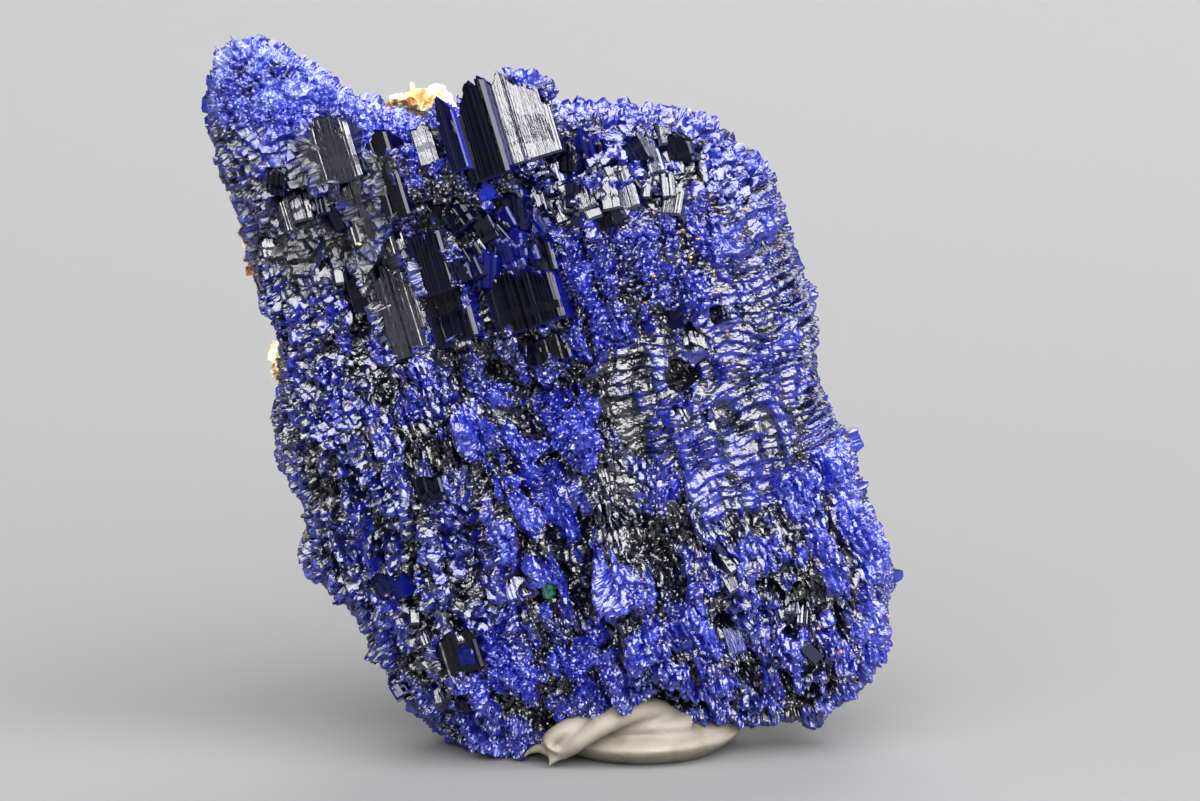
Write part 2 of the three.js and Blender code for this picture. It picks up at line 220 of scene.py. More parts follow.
class Nodes:
    """Short ways to add shader nodes to a new material."""

    def __init__(self, name):
        self.material = bpy.data.materials.new(name)
        self.material.use_nodes = True
        self.tree = self.material.node_tree
        self.shader = self.tree.nodes["Principled BSDF"]

    def add(self, kind, **inputs):
        node = self.tree.nodes.new(kind)
        for label, value in inputs.items():
            self.put(node.inputs[label.replace("_", " ")], value)
        return node

    def put(self, socket, value):
        if isinstance(value, bpy.types.NodeSocket):
            self.tree.links.new(value, socket)
        else:
            socket.default_value = value

    def attribute(self, name):
        node = self.tree.nodes.new("ShaderNodeAttribute")
        node.attribute_name = name
        return node.outputs["Fac"]

    def place(self, stretch=(1, 1, 1)):
        """The place on the object in millimetres, turned so that its Z runs along the growth axis."""
        coordinates = self.tree.nodes.new("ShaderNodeTexCoord").outputs["Object"]
        turned = self.add("ShaderNodeMapping", Vector=coordinates, Rotation=(0, GROWTH_LEAN, 0))
        scale = tuple(1 / (MM * share) for share in stretch)
        return self.add("ShaderNodeMapping", Vector=turned.outputs["Vector"], Scale=scale).outputs["Vector"]

    def noise(self, size, detail=3.0, roughness=0.55, stretch=(1, 1, 1)):
        """Noise from 0 to 1 with features of that size in millimetres."""
        place = self.place(stretch)
        scale = 1 / size
        node = self.add("ShaderNodeTexNoise", Vector=place, Scale=scale, Detail=detail, Roughness=roughness)
        return node.outputs["Fac"]

    def math(self, operation, first, second=0.0, clamp=False):
        node = self.tree.nodes.new("ShaderNodeMath")
        node.operation = operation
        node.use_clamp = clamp
        self.put(node.inputs[0], first)
        self.put(node.inputs[1], second)
        return node.outputs["Value"]

    def spread(self, value, low, high, to_low=0.0, to_high=1.0):
        """A value stretched from one range to another, and held inside it."""
        node = self.tree.nodes.new("ShaderNodeMapRange")
        for socket, number in zip(node.inputs, (value, low, high, to_low, to_high)):
            self.put(socket, number)
        return node.outputs["Result"]

    def ramp(self, value, stops):
        """A color from a value, by stops that are each a position and a color."""
        node = self.add("ShaderNodeValToRGB", Fac=value)
        elements = node.color_ramp.elements
        while len(elements) < len(stops):
            elements.new(1.0)
        for element, (position, color) in zip(elements, stops):
            element.position = position
            element.color = (*color, 1.0)
        return node.outputs["Color"]

    def bump(self, height, distance, strength=1.0, normal=None):
        node = self.add("ShaderNodeBump", Height=height, Distance=distance * MM, Strength=strength)
        if normal is not None:
            self.put(node.inputs["Normal"], normal)
        return node.outputs["Normal"]

    def surface(self, **inputs):
        """Sets the shader's inputs, and gives the material."""
        for label, value in inputs.items():
            self.put(self.shader.inputs[label.replace("_", " ")], value)
        return self.material


# Azurite's color by tone, from 0 for the darkest places to 1 for frosted tips, on the horn's top partly
# painted light.
AZURITE_TONES = [
    (0.00, (0.0006, 0.0007, 0.0024)),
    (0.22, (0.0010, 0.0014, 0.0220)),
    (0.45, (0.0018, 0.0036, 0.0850)),
    (0.68, (0.0035, 0.0085, 0.1900)),
    (0.86, (0.0180, 0.0310, 0.2600)),
    (1.00, (0.1150, 0.1450, 0.3700)),
]
AZURITE_IOR = 1.78


def druse_material():
    """Fine azurite crystals: painted shade makes them near-black where deep, saturated blue at their tips,
    with glassy faces.
    """
    nodes = Nodes("azurite_druse")
    patches = nodes.spread(nodes.noise(2.2), 0.3, 0.7, -0.10, 0.10)
    grain = nodes.spread(nodes.noise(0.16, detail=2.0), 0.3, 0.7, -0.16, 0.16)
    # The blue attribute carries painted shade in hollows and a painted glint on upward faces.
    tone = nodes.math("ADD", nodes.attribute("blue"), nodes.math("ADD", patches, grain), clamp=True)
    color = nodes.ramp(tone, AZURITE_TONES)
    gloss = nodes.spread(nodes.noise(0.5), 0.3, 0.7, 0.13, 0.28)
    roughness = nodes.math("ADD", gloss, nodes.attribute("dull"))
    normal = nodes.bump(nodes.noise(0.14, detail=2.0, stretch=(1, 1, 1.6)), 0.04, 0.50)
    return nodes.surface(
        Base_Color=color,
        Roughness=roughness,
        IOR=AZURITE_IOR,
        Specular_IOR_Level=0.50,
        Normal=normal,
    )


def crystal_material(name, specular, grooving, gloss):
    """The large crystals: glassy, grooved along the growth axis, black where thick and blue where thin; the
    blue at their thin edges is painted light shining through.
    """
    nodes = Nodes(name)
    cloud = nodes.spread(nodes.noise(0.9), 0.5, 0.75, -0.02, 0.05)
    # The blue attribute carries painted light at thin edges, besides each crystal's tone.
    tone = nodes.math("ADD", nodes.attribute("blue"), cloud, clamp=True)
    color = nodes.ramp(tone, AZURITE_TONES)
    grooves = nodes.noise(0.11, detail=2.0, roughness=0.6, stretch=(1, 1, 60))
    scratches = nodes.noise(0.30, detail=3.0, stretch=(1, 1, 5))
    normal = nodes.bump(grooves, 0.05, grooving)
    normal = nodes.bump(scratches, 0.008, 0.4, normal)
    roughness = nodes.spread(nodes.noise(0.7, stretch=(1, 1, 4)), 0.3, 0.7, *gloss)
    return nodes.surface(
        Base_Color=color,
        Roughness=roughness,
        IOR=AZURITE_IOR,
        Specular_IOR_Level=specular,
        Normal=normal,
    )


ROCK_TONES = [
    (0.28, (0.30, 0.13, 0.035)),
    (0.38, (0.55, 0.30, 0.11)),
    (0.46, (0.66, 0.47, 0.26)),
    (0.56, (0.78, 0.68, 0.51)),
    (0.72, (0.82, 0.78, 0.68)),
]
MALACHITE_TONES = [(0.35, (0.002, 0.032, 0.017)), (0.65, (0.006, 0.125, 0.064))]
PUTTY_TONES = [
    (0.30, (0.120, 0.099, 0.070)),
    (0.52, (0.172, 0.156, 0.127)),
    (0.80, (0.212, 0.199, 0.169)),
]


def rock_material():
    """Tan limonite rock, cream where it is clean and orange where it is stained."""
    nodes = Nodes("limonite_rock")
    stain = nodes.noise(2.4, detail=5.0)
    fine = nodes.noise(0.35, detail=4.0, roughness=0.7)
    tone = nodes.math("ADD", nodes.math("MULTIPLY", stain, 0.7), nodes.math("MULTIPLY", fine, 0.3))
    # The stain attribute also carries painted shade in the rock's hollows.
    color = nodes.ramp(nodes.math("ADD", tone, nodes.attribute("stain")), ROCK_TONES)
    normal = nodes.bump(fine, 0.12, 0.9)
    return nodes.surface(Base_Color=color, Roughness=0.9, Normal=normal)


def malachite_material():
    """Glassy deep green, finely grooved along the needles."""
    nodes = Nodes("malachite_green")
    color = nodes.ramp(nodes.noise(0.3), MALACHITE_TONES)
    normal = nodes.bump(nodes.noise(0.08, stretch=(1, 1, 5)), 0.02, 0.5)
    return nodes.surface(Base_Color=color, Roughness=0.22, IOR=1.75, Normal=normal)


def putty_material():
    """White putty: smooth and waxy, a little see-into, with faint smears and small dents."""
    nodes = Nodes("white_putty")
    color = nodes.ramp(nodes.noise(3.0, detail=4.0), PUTTY_TONES)
    dents = nodes.bump(nodes.noise(1.1, detail=3.0), 0.10, 0.5)
    normal = nodes.bump(nodes.noise(0.18, detail=3.0, roughness=0.7), 0.015, 0.6, dents)
    roughness = nodes.spread(nodes.noise(0.9), 0.3, 0.7, 0.38, 0.60)
    return nodes.surface(
        Base_Color=color,
        Roughness=roughness,
        Specular_IOR_Level=0.25,
        Normal=normal,
        Subsurface_Weight=0.35,
        Subsurface_Radius=(1.0, 0.75, 0.5),
        Subsurface_Scale=1.4 * MM,
    )


DRUSE = druse_material()
CRYSTAL = crystal_material("azurite_silvery", 0.52, 0.55, (0.06, 0.20))
DARK_CRYSTAL = crystal_material("azurite_black", 0.14, 0.12, (0.03, 0.08))
ROCK = rock_material()
MALACHITE = malachite_material()
PUTTY = putty_material()

# ---------------------------------------- regions of the surface

# Each region of the front: the place of its middle, its radius, and the habit of its small crystals. blue is
# their tone, and contrast how much it changes between them. lumps and channels are the strengths of the
# relief under them. The glint amount is painted light: it takes blue away from faces that face upwards, so
# that their reflections read silver. dull roughens all the faces.
AMOUNTS = ("blue", "contrast", "lumps", "channels", "glint", "dull")
Region = namedtuple("Region", ("at", "radius", "kind", *AMOUNTS))
REGIONS = [
    # The first two rows are the horn: its paler top and darker lower part are partly own tone, partly painted
    # light and shade from above.
    Region((-18.2, 44.8), 3.8, "grains", 0.85, 0.70, 0.28, 0.00, 0.12, 0.10),
    Region((-19.6, 39.4), 3.4, "flakes", 0.42, 0.70, 0.30, 0.10, 0.45, 0.15),
    Region((-15.0, 36.5), 4.2, "flakes", 0.24, 0.50, 0.30, 0.10, 0.45, 0.28),
    Region((-10.0, 42.5), 2.6, "grains", 0.70, 0.60, 0.30, 0.00, 0.20, 0.00),
    Region((-15.5, 26.0), 4.6, "flakes", 0.42, 0.60, 0.50, 0.25, 0.45, 0.00),
    Region((-14.0, 17.5), 4.6, "flakes", 0.42, 0.60, 0.55, 0.35, 0.45, 0.05),
    Region((-9.0, 21.5), 3.6, "columns", 0.40, 0.60, 0.50, 0.45, 0.30, 0.00),
    Region((-8.5, 10.0), 4.2, "flakes", 0.40, 0.60, 0.60, 0.40, 0.45, 0.06),
    Region((-5.0, 36.0), 4.2, "grains", 0.40, 1.10, 0.45, 0.20, 0.05, 0.12),
    Region((-3.0, 30.0), 4.6, "grains", 0.38, 1.10, 0.45, 0.20, 0.05, 0.12),
    Region((-1.5, 21.0), 4.0, "grains", 0.66, 0.50, 0.80, 0.80, 0.20, 0.00),
    Region((1.0, 14.0), 4.2, "columns", 0.64, 0.55, 0.75, 0.60, 0.20, 0.00),
    Region((5.5, 9.5), 4.2, "columns", 0.60, 0.55, 0.70, 0.50, 0.20, 0.00),
    Region((7.0, 17.0), 3.2, "columns", 0.50, 0.50, 0.35, 0.30, 0.30, 0.00),
    Region((4.0, 38.0), 4.4, "flakes", 0.42, 0.60, 0.55, 0.00, 0.45, 0.00),
    Region((2.5, 31.0), 3.8, "grains", 0.56, 0.60, 0.40, 0.10, 0.20, 0.00),
    Region((10.5, 40.0), 3.6, "flakes", 0.50, 0.60, 0.50, 0.00, 0.45, 0.00),
    Region((8.5, 33.5), 3.8, "grains", 0.62, 0.60, 0.30, 0.10, 0.20, 0.00),
    Region((14.0, 33.0), 4.2, "ripples", 0.50, 0.30, 0.25, 0.05, 0.45, 0.00),
    Region((14.5, 26.0), 4.6, "ripples", 0.50, 0.30, 0.20, 0.05, 0.45, 0.00),
    Region((11.5, 20.0), 4.2, "ripples", 0.46, 0.30, 0.30, 0.20, 0.45, 0.00),
    Region((7.5, 25.5), 3.2, "ripples", 0.44, 0.30, 0.40, 0.20, 0.45, 0.00),
    Region((19.0, 15.0), 4.2, "columns", 0.64, 0.50, 0.50, 0.50, 0.30, 0.00),
    Region((14.0, 11.5), 3.8, "columns", 0.52, 0.60, 0.50, 0.50, 0.30, 0.00),
    Region((12.0, 5.5), 4.2, "columns", 0.50, 0.70, 0.60, 0.50, 0.30, 0.00),
    Region((19.5, 6.5), 4.0, "columns", 0.62, 0.50, 0.60, 0.40, 0.30, 0.00),
    Region((-2.0, 3.5), 5.0, "grains", 0.58, 0.50, 0.65, 0.30, 0.20, 0.00),
]
BACK_REGION = Region(None, None, "flakes", 0.50, 0.50, 0.60, 0.30, 0.40, 0.00)
BACK_START, BACK_END = -0.10, 0.35  # how far a surface faces back where the back's look begins and is whole


def region_values(points, normals):
    """The regions' amounts and each habit's share at each point, with smooth changes from one to the next."""
    x, z = on_front(points)
    x = x + 1.1 * smooth_noise(points, 2.4, SEED + 51)
    z = z + 1.1 * smooth_noise(points, 2.4, SEED + 52)
    behind = smoothstep(BACK_START, BACK_END, normals[:, 1])
    weights = [0.003 + 6.0 * behind]
    for region in REGIONS:
        distance = (x - region.at[0]) ** 2 + (z - region.at[1]) ** 2
        weights.append((1 - behind) * np.exp(-2.2 * distance / region.radius**2))
    total = sum(weights)
    places = [BACK_REGION, *REGIONS]
    mixed = {}
    for key in AMOUNTS:
        mixed[key] = sum(w * getattr(place, key) for w, place in zip(weights, places)) / total
    for kind in SMALL_HABITS:
        share = sum(w for w, place in zip(weights, places) if place.kind == kind) / total
        mixed[kind] = share**3
    whole = sum(mixed[kind] for kind in SMALL_HABITS)
    for kind in SMALL_HABITS:
        mixed[kind] = mixed[kind] / whole
    return mixed


# ---------------------------------------- fields of crystals that grow out of a surface


def eight_sided(distance):
    """The faces of an octahedron, that far from its middle."""
    return [(i, j, k, distance) for i in (-1, 1) for j in (-1, 1) for k in (-1, 1)]


def mirrored(*faces):
    """Each face and its mirror image in depth."""
    return [(x, side * y, z, distance) for x, y, z, distance in faces for side in (-1, 1)]


# How each habit grows. cell is the spacing of its crystals across, in depth and along the growth axis. faces
# are the crystal's outward directions in that frame, each with its distance from the middle. turn is how far
# crystals are turned from the common direction, in radians. All lengths are in millimetres.
HABITS = {
    "grains": dict(
        cell=(0.34, 0.36, 0.52),
        turn=0.38,
        faces=[*eight_sided(0.18), (0, 0, 1, 0.22), (0, -1, 0.3, 0.21)],
    ),
    "flakes": dict(
        cell=(0.95, 0.50, 0.56),
        turn=0.36,
        faces=[
            *mirrored((0.12, 0.82, 0.56, 0.22), (0.10, 0.50, -0.86, 0.28)),
            *mirrored((0.90, 0.42, 0.1, 0.42), (-0.90, 0.40, 0.1, 0.42)),
            (0, 0, 1, 0.34),
            (0, 0, -1, 0.30),
        ],
    ),
    "columns": dict(
        cell=(0.31, 0.36, 1.05),
        turn=0.20,
        faces=[
            *mirrored((0.62, 0.78, 0.05, 0.16), (-0.62, 0.76, 0.15, 0.16)),
            *mirrored((0.20, 0.55, 0.80, 0.40), (0, 0.5, -0.85, 0.44)),
            (0.3, -0.95, 0.2, 0.15),
            (1, 0, 0, 0.19),
            (-1, 0, 0, 0.19),
        ],
    ),
}
SMALL_HABITS = ("grains", "flakes", "ripples", "columns")  # ripple_field makes the ripples
RIPPLE_SIZES = ((0.80, 0.22), (0.38, 0.05))  # each set of ripples' spacing and height
PARALLEL = 0.02  # a line this near to parallel with a face is taken as parallel
FAR = 9.0  # farther out than any crystal reaches
LEAST_SIZE = 0.05  # crystals smaller than this share of the usual size are left out
STEEP_SHARE = 0.32  # the share of a ripple that is its steep lower side


def crystal_field(place, outward, habit, seed):
    """Grows one habit's crystals from just under a surface, and meets them along its normals.

    place and outward are the surface's points and normals in the growth frame. Gives how far out the
    outermost face is from each point, and a number from 0 to 1 for the crystal it belongs to.
    """
    cell = np.array(habit["cell"])
    top_seed = 0.5 * cell[1]
    scaled = place / cell
    home = np.floor(scaled).astype(np.int64)
    best = np.full(len(place), -FAR)
    owner = np.zeros(len(place))
    faces = [(np.array(face[:3]) / np.linalg.norm(face[:3]), face[3]) for face in habit["faces"]]
    for di, dj, dk in NEIGHBOURS:
        i, j, k = home[:, 0] + di, home[:, 1] + dj, home[:, 2] + dk
        draws = [lattice_random(i, j, k, seed + n) for n in range(7)]
        middle = np.stack([i + draws[0], j + draws[1], k + draws[2]], axis=1) * cell
        from_middle = place - middle
        spin = habit["turn"] * 2 * (np.stack(draws[3:6], axis=1) - 0.5)
        offset = from_middle - np.cross(spin, from_middle)
        line = outward - np.cross(spin, outward)
        above = -(from_middle * outward).sum(1)
        size = (0.95 + 0.50 * draws[6]) * np.clip(1 - above / top_seed, 0, 1)
        nearest = np.full(len(place), FAR)
        lowest = np.full(len(place), -FAR)
        for face, distance in faces:
            room = size * distance - offset @ face
            slope = line @ face
            met = room / np.where(np.abs(slope) < PARALLEL, PARALLEL, slope)
            nearest = np.where(slope > PARALLEL, np.minimum(nearest, met), nearest)
            lowest = np.where(slope < -PARALLEL, np.maximum(lowest, met), lowest)
            nearest = np.where((np.abs(slope) <= PARALLEL) & (room < 0), -FAR, nearest)
        met = (nearest > lowest) & (nearest > best) & (size > LEAST_SIZE)
        best = np.where(met, nearest, best)
        owner = np.where(met, draws[6] * 0.5 + draws[3] * 0.5, owner)
    return best, owner


def ripple_field(grown, seed):
    """The height of ripples across the growth axis, steep below and sloping above, and a varying number."""
    height = np.zeros(len(grown))
    for n, (spacing, size) in enumerate(RIPPLE_SIZES):
        bend = 1.2 * smooth_noise(grown, (3.2, 3.0, 4.0), seed + n)
        bend = bend + 0.22 * smooth_noise(grown, (0.9, 1.0, 0.9), seed + 3 + n)
        phase = np.mod(grown[:, 2] / spacing + bend, 1.0)
        profile = np.where(phase < STEEP_SHARE, phase / STEEP_SHARE, (1 - phase) / (1 - STEEP_SHARE))
        strength = 0.65 + 0.6 * smooth_noise(grown, (1.3, 1.0, 0.8), seed + 7 + n)
        height += size * 2 * strength * (profile - 0.4)
    height += 0.035 * smooth_noise(grown, 0.26, seed + 10)
    return height, 0.5 + 0.5 * smooth_noise(grown, (0.7, 0.6, 0.35), seed + 12)


# ---------------------------------------- the azurite's surface

SURFACE_VOXEL = 0.203  # in front, faces are made twice as fine as this
FRONT_FACING = -0.08  # a surface that faces further back than this is behind
SLAB_TRIANGLES = 170000  # the surface is cut into slabs of no more triangles than this
# Painted shade: the druse is painted darker the further it lies under its general level.
SHADOW_DEPTH = 0.5  # surface this far under the general level is at its darkest
KEPT_FREE = 0.25  # past this far in front of the CAD model, the surface is pressed back
SETTLED = 0.16  # small crystals are sunk by this much, so that they stand on the CAD surface on average
LEAST_SHARE = 0.03  # a habit with a smaller share than this at a point isn't grown there


def divided(mesh):
    """A mesh of quads as triangles, with each quad that faces forwards cut into eight."""
    count = len(mesh.polygons)
    starts = column(mesh.polygons, "loop_start", 1, np.int32)
    corners = column(mesh.loops, "vertex_index", 1, np.int32)
    sides = column(mesh.loops, "edge_index", 1, np.int32)
    ends = column(mesh.edges, "vertices", 2, np.int32)
    points = column(mesh.vertices, "co", 3).astype(float)
    front = column(mesh.polygons, "normal", 3)[:, 1] < FRONT_FACING
    order = starts[:, None] + np.arange(4)
    corner, side = corners[order], sides[order]

    split = np.zeros(len(ends), bool)
    split[side[front]] = True
    middle_of = np.full(len(ends), -1)
    middle_of[split] = len(points) + np.arange(split.sum())
    touched = split[side].any(1)
    centre_of = np.full(count, -1)
    centre_of[touched] = len(points) + split.sum() + np.arange(touched.sum())
    points = np.concatenate([points, points[ends[split]].mean(1), points[corner[touched]].mean(1)])

    plain = corner[~touched]
    triangles = [plain[:, [0, 1, 2]], plain[:, [0, 2, 3]]]
    for n in range(4):
        first, second = corner[touched, n], corner[touched, (n + 1) % 4]
        middle, centre = middle_of[side[touched, n]], centre_of[touched]
        cut = middle >= 0
        triangles.append(np.stack([first, second, centre], 1)[~cut])
        triangles.append(np.stack([first, middle, centre], 1)[cut])
        triangles.append(np.stack([middle, second, centre], 1)[cut])
    return points, np.concatenate(triangles)


def vertex_normals(points, triangles):
    """The outward direction at each point, from the triangles round it."""
    corner = points[triangles]
    face = np.cross(corner[:, 1] - corner[:, 0], corner[:, 2] - corner[:, 0])
    shares = [np.bincount(triangles.ravel(), np.repeat(face[:, n], 3), len(points)) for n in range(3)]
    normals = np.stack(shares, 1)
    return normals / (np.linalg.norm(normals, axis=1)[:, None] + 1e-12)


def creased(points, size, seed):
    """Rounded lumps with sharp creases between them, from about -0.3 in a crease to 0.7."""
    return np.abs(smooth_noise(points, size, seed)) * 1.6 - 0.3


def larger_relief(grown, values):
    """The height of the relief under the small crystals: creased clumps, with channels between columns."""
    clumps = creased(grown, (1.45, 1.8, 3.4), SEED + 60) + 0.55 * creased(grown, (0.75, 0.9, 1.5), SEED + 61)
    clumps = clumps + 0.5 * smooth_noise(grown, (2.8, 2.8, 3.6), SEED + 62) - 0.25
    channel = 1 - np.abs(smooth_noise(grown, (1.9, 3.0, 7.0), SEED + 9)) * 3.4
    patches = smoothstep(-0.5, 0.2, smooth_noise(grown, (3.0, 3.0, 4.5), SEED + 10))
    channel = np.clip(channel, 0, 1) * patches
    return 1.45 * values["lumps"] * clumps - 1.5 * values["channels"] * channel


def warped(points):
    """Points in the growth frame, pushed about a little so that crystals grown there come out uneven."""
    grown = growth_frame(points)
    for size, strength, seed in ((1.7, 0.30, SEED + 56), (0.42, 0.085, SEED + 57)):
        push = [smooth_noise(grown, size, seed + 10 * n) for n in range(3)]
        grown = grown + strength * np.stack(push, axis=1)
    return grown


PITS = [((8.5, 25.4), 1.2, 1.5), ((-1.1, 10.2), 0.9, 0.5), ((2.6, 24.4), 0.8, 0.9)]  # place, radius and depth


def pitted(points, normals):
    """How deep the pits are at each point."""
    x, z = on_front(points)
    depth = np.zeros(len(points))
    for (pit_x, pit_z), radius, deepest in PITS:
        distance = np.hypot(x - pit_x, z - pit_z) + 0.3 * smooth_noise(points, 0.7, SEED + 59)
        depth = np.maximum(depth, deepest * smoothstep(radius, 0.45 * radius, distance) * (normals[:, 1] < 0))
    return depth


def small_crystals(grown, outward, normals, values):
    """How far the small crystals stand out at each point, and a number for the one that is there."""
    fine = np.zeros(len(grown))
    grain = np.zeros(len(grown))
    for n, kind in enumerate(SMALL_HABITS):
        used = values[kind] > LEAST_SHARE
        seed = SEED + 70 + 10 * n
        if kind == "ripples":
            met, owner = ripple_field(grown[used], seed)
            met = met * (1 + 1.2 * smoothstep(-0.80, -0.25, normals[used, 1])) + 0.16
        else:
            met, owner = crystal_field(grown[used], outward[used], HABITS[kind], seed)
        fine[used] += values[kind][used] * np.clip(met, -0.22, 0.5)
        grain[used] += values[kind][used] * owner
    return fine + (0.02 + 0.05 * values["grains"]) * smooth_noise(grown, 0.13, SEED + 97), grain


def surface_tone(grown, values, grain, painted_glint_share, height):
    """How blue each point is: painted shade darkens it where it is deep, a painted glint takes blue from
    faces that face upwards, and it differs from grain to grain.
    """
    mottle = 0.55 * smooth_noise(grown, 0.30, SEED + 91) + 0.60 * smooth_noise(grown, 1.5, SEED + 90)
    # Painted shade: places under the general level are darkened towards near-black.
    deep = smoothstep(0.0, -SHADOW_DEPTH, height)
    blue = values["blue"] + values["contrast"] * (0.40 * (grain - 0.5) + 0.45 * mottle)
    return np.clip(blue - values["glint"] * (painted_glint_share - 0.35) - 0.62 * deep - 0.02, 0, 1)


def build_surface(crystals):
    """The whole azurite as one closed surface, grown over with small crystals.

    Gives the points and normals before they are grown over, the points after, the triangles and the
    material's values.
    """
    base, triangles = divided(remeshed(node_mesh("azurite_crystal_mass"), SURFACE_VOXEL, 6))
    normals = vertex_normals(base, triangles)
    values = region_values(base, normals)
    grown, outward = warped(base), growth_frame(normals)
    turned_away = smoothstep(-0.75, -0.15, normals[:, 1]) * (normals[:, 1] < 0.3)
    height = larger_relief(grown, values) * (1 - 0.55 * turned_away) - pitted(base, normals)
    under, sunk = cleared(base, crystals)
    height = height * (1 - under) - sunk
    grown = grown + outward * height[:, None]
    fine, grain = small_crystals(grown, outward, normals, values)
    points = base + normals * (height + fine - SETTLED)[:, None]
    points[:, 1] += 0.6 * np.maximum(mass_low[1] - KEPT_FREE - points[:, 1], 0)
    points[:, 2] = np.maximum(points[:, 2], mass_low[2] + 0.01)

    # Painted glint: faces that tilt further up than the surface under them, towards the key light, lose blue.
    facing = vertex_normals(points, triangles)
    painted_glint_share = smoothstep(0.10, 0.55, facing[:, 2] - 0.85 * np.maximum(normals[:, 2], 0))
    blue = surface_tone(grown, values, grain, painted_glint_share, height)
    return base, normals, points, triangles, {"blue": blue, "dull": values["dull"]}


def open_edges(triangles):
    """The edges that only one of the triangles has, each in the direction that triangle gives it."""
    edges = np.concatenate([triangles[:, [0, 1]], triangles[:, [1, 2]], triangles[:, [2, 0]]])
    key = edges.min(1).astype(np.int64) * (triangles.max() + 1) + edges.max(1)
    _, index, count = np.unique(key, return_index=True, return_counts=True)
    return edges[index[count == 1]]


CAP_DEPTH = 1.6  # the walls at the cuts between slabs go this far inside
NEAR_CUT = 1.0  # an open edge within this distance of a cut belongs to it


def build_slabs(base, normals, points, triangles, looks):
    """Cuts the surface from left to right into pieces under the face limit, each closed by walls inside."""
    middle_x = base[triangles].mean(1)[:, 0]
    parts = math.ceil(len(triangles) / SLAB_TRIANGLES)
    limits = np.quantile(middle_x, np.linspace(0, 1, parts + 1))
    slab_of = np.clip(np.searchsorted(limits, middle_x, side="right") - 1, 0, parts - 1)
    for part in range(parts):
        chosen = triangles[slab_of == part]
        rims = open_edges(chosen)
        used = np.unique(chosen)
        number = np.full(len(points), -1)
        number[used] = np.arange(len(used))
        all_points, faces = [points[used]], [number[chosen]]
        count = len(used)
        for limit in limits[part:part + 2]:
            rim = rims[np.abs(base[rims[:, 0], 0] - limit) < NEAR_CUT]
            if len(rim) == 0:
                continue
            corners = np.unique(rim)
            inner = np.full(len(points), -1)
            inner[corners] = count + np.arange(len(corners))
            inner_points = base[corners] - normals[corners] * CAP_DEPTH
            centre = count + len(corners)
            first, second = rim[:, 0], rim[:, 1]
            faces.append(np.stack([number[second], number[first], inner[first]], 1))
            faces.append(np.stack([number[second], inner[first], inner[second]], 1))
            faces.append(np.stack([inner[second], inner[first], np.full(len(rim), centre)], 1))
            all_points += [inner_points, inner_points.mean(0)[None]]
            count = centre + 1
        replaced = ["azurite_crystal_mass"] if part == 0 else []
        slab_points = np.concatenate(all_points)
        inside = np.zeros(len(slab_points) - len(used))
        values = {label: np.concatenate([look[used], inside]) for label, look in looks.items()}
        name = f"azurite_surface_{part + 1}"
        finish_piece(name, slab_points, np.concatenate(faces), DRUSE, replaced, values)
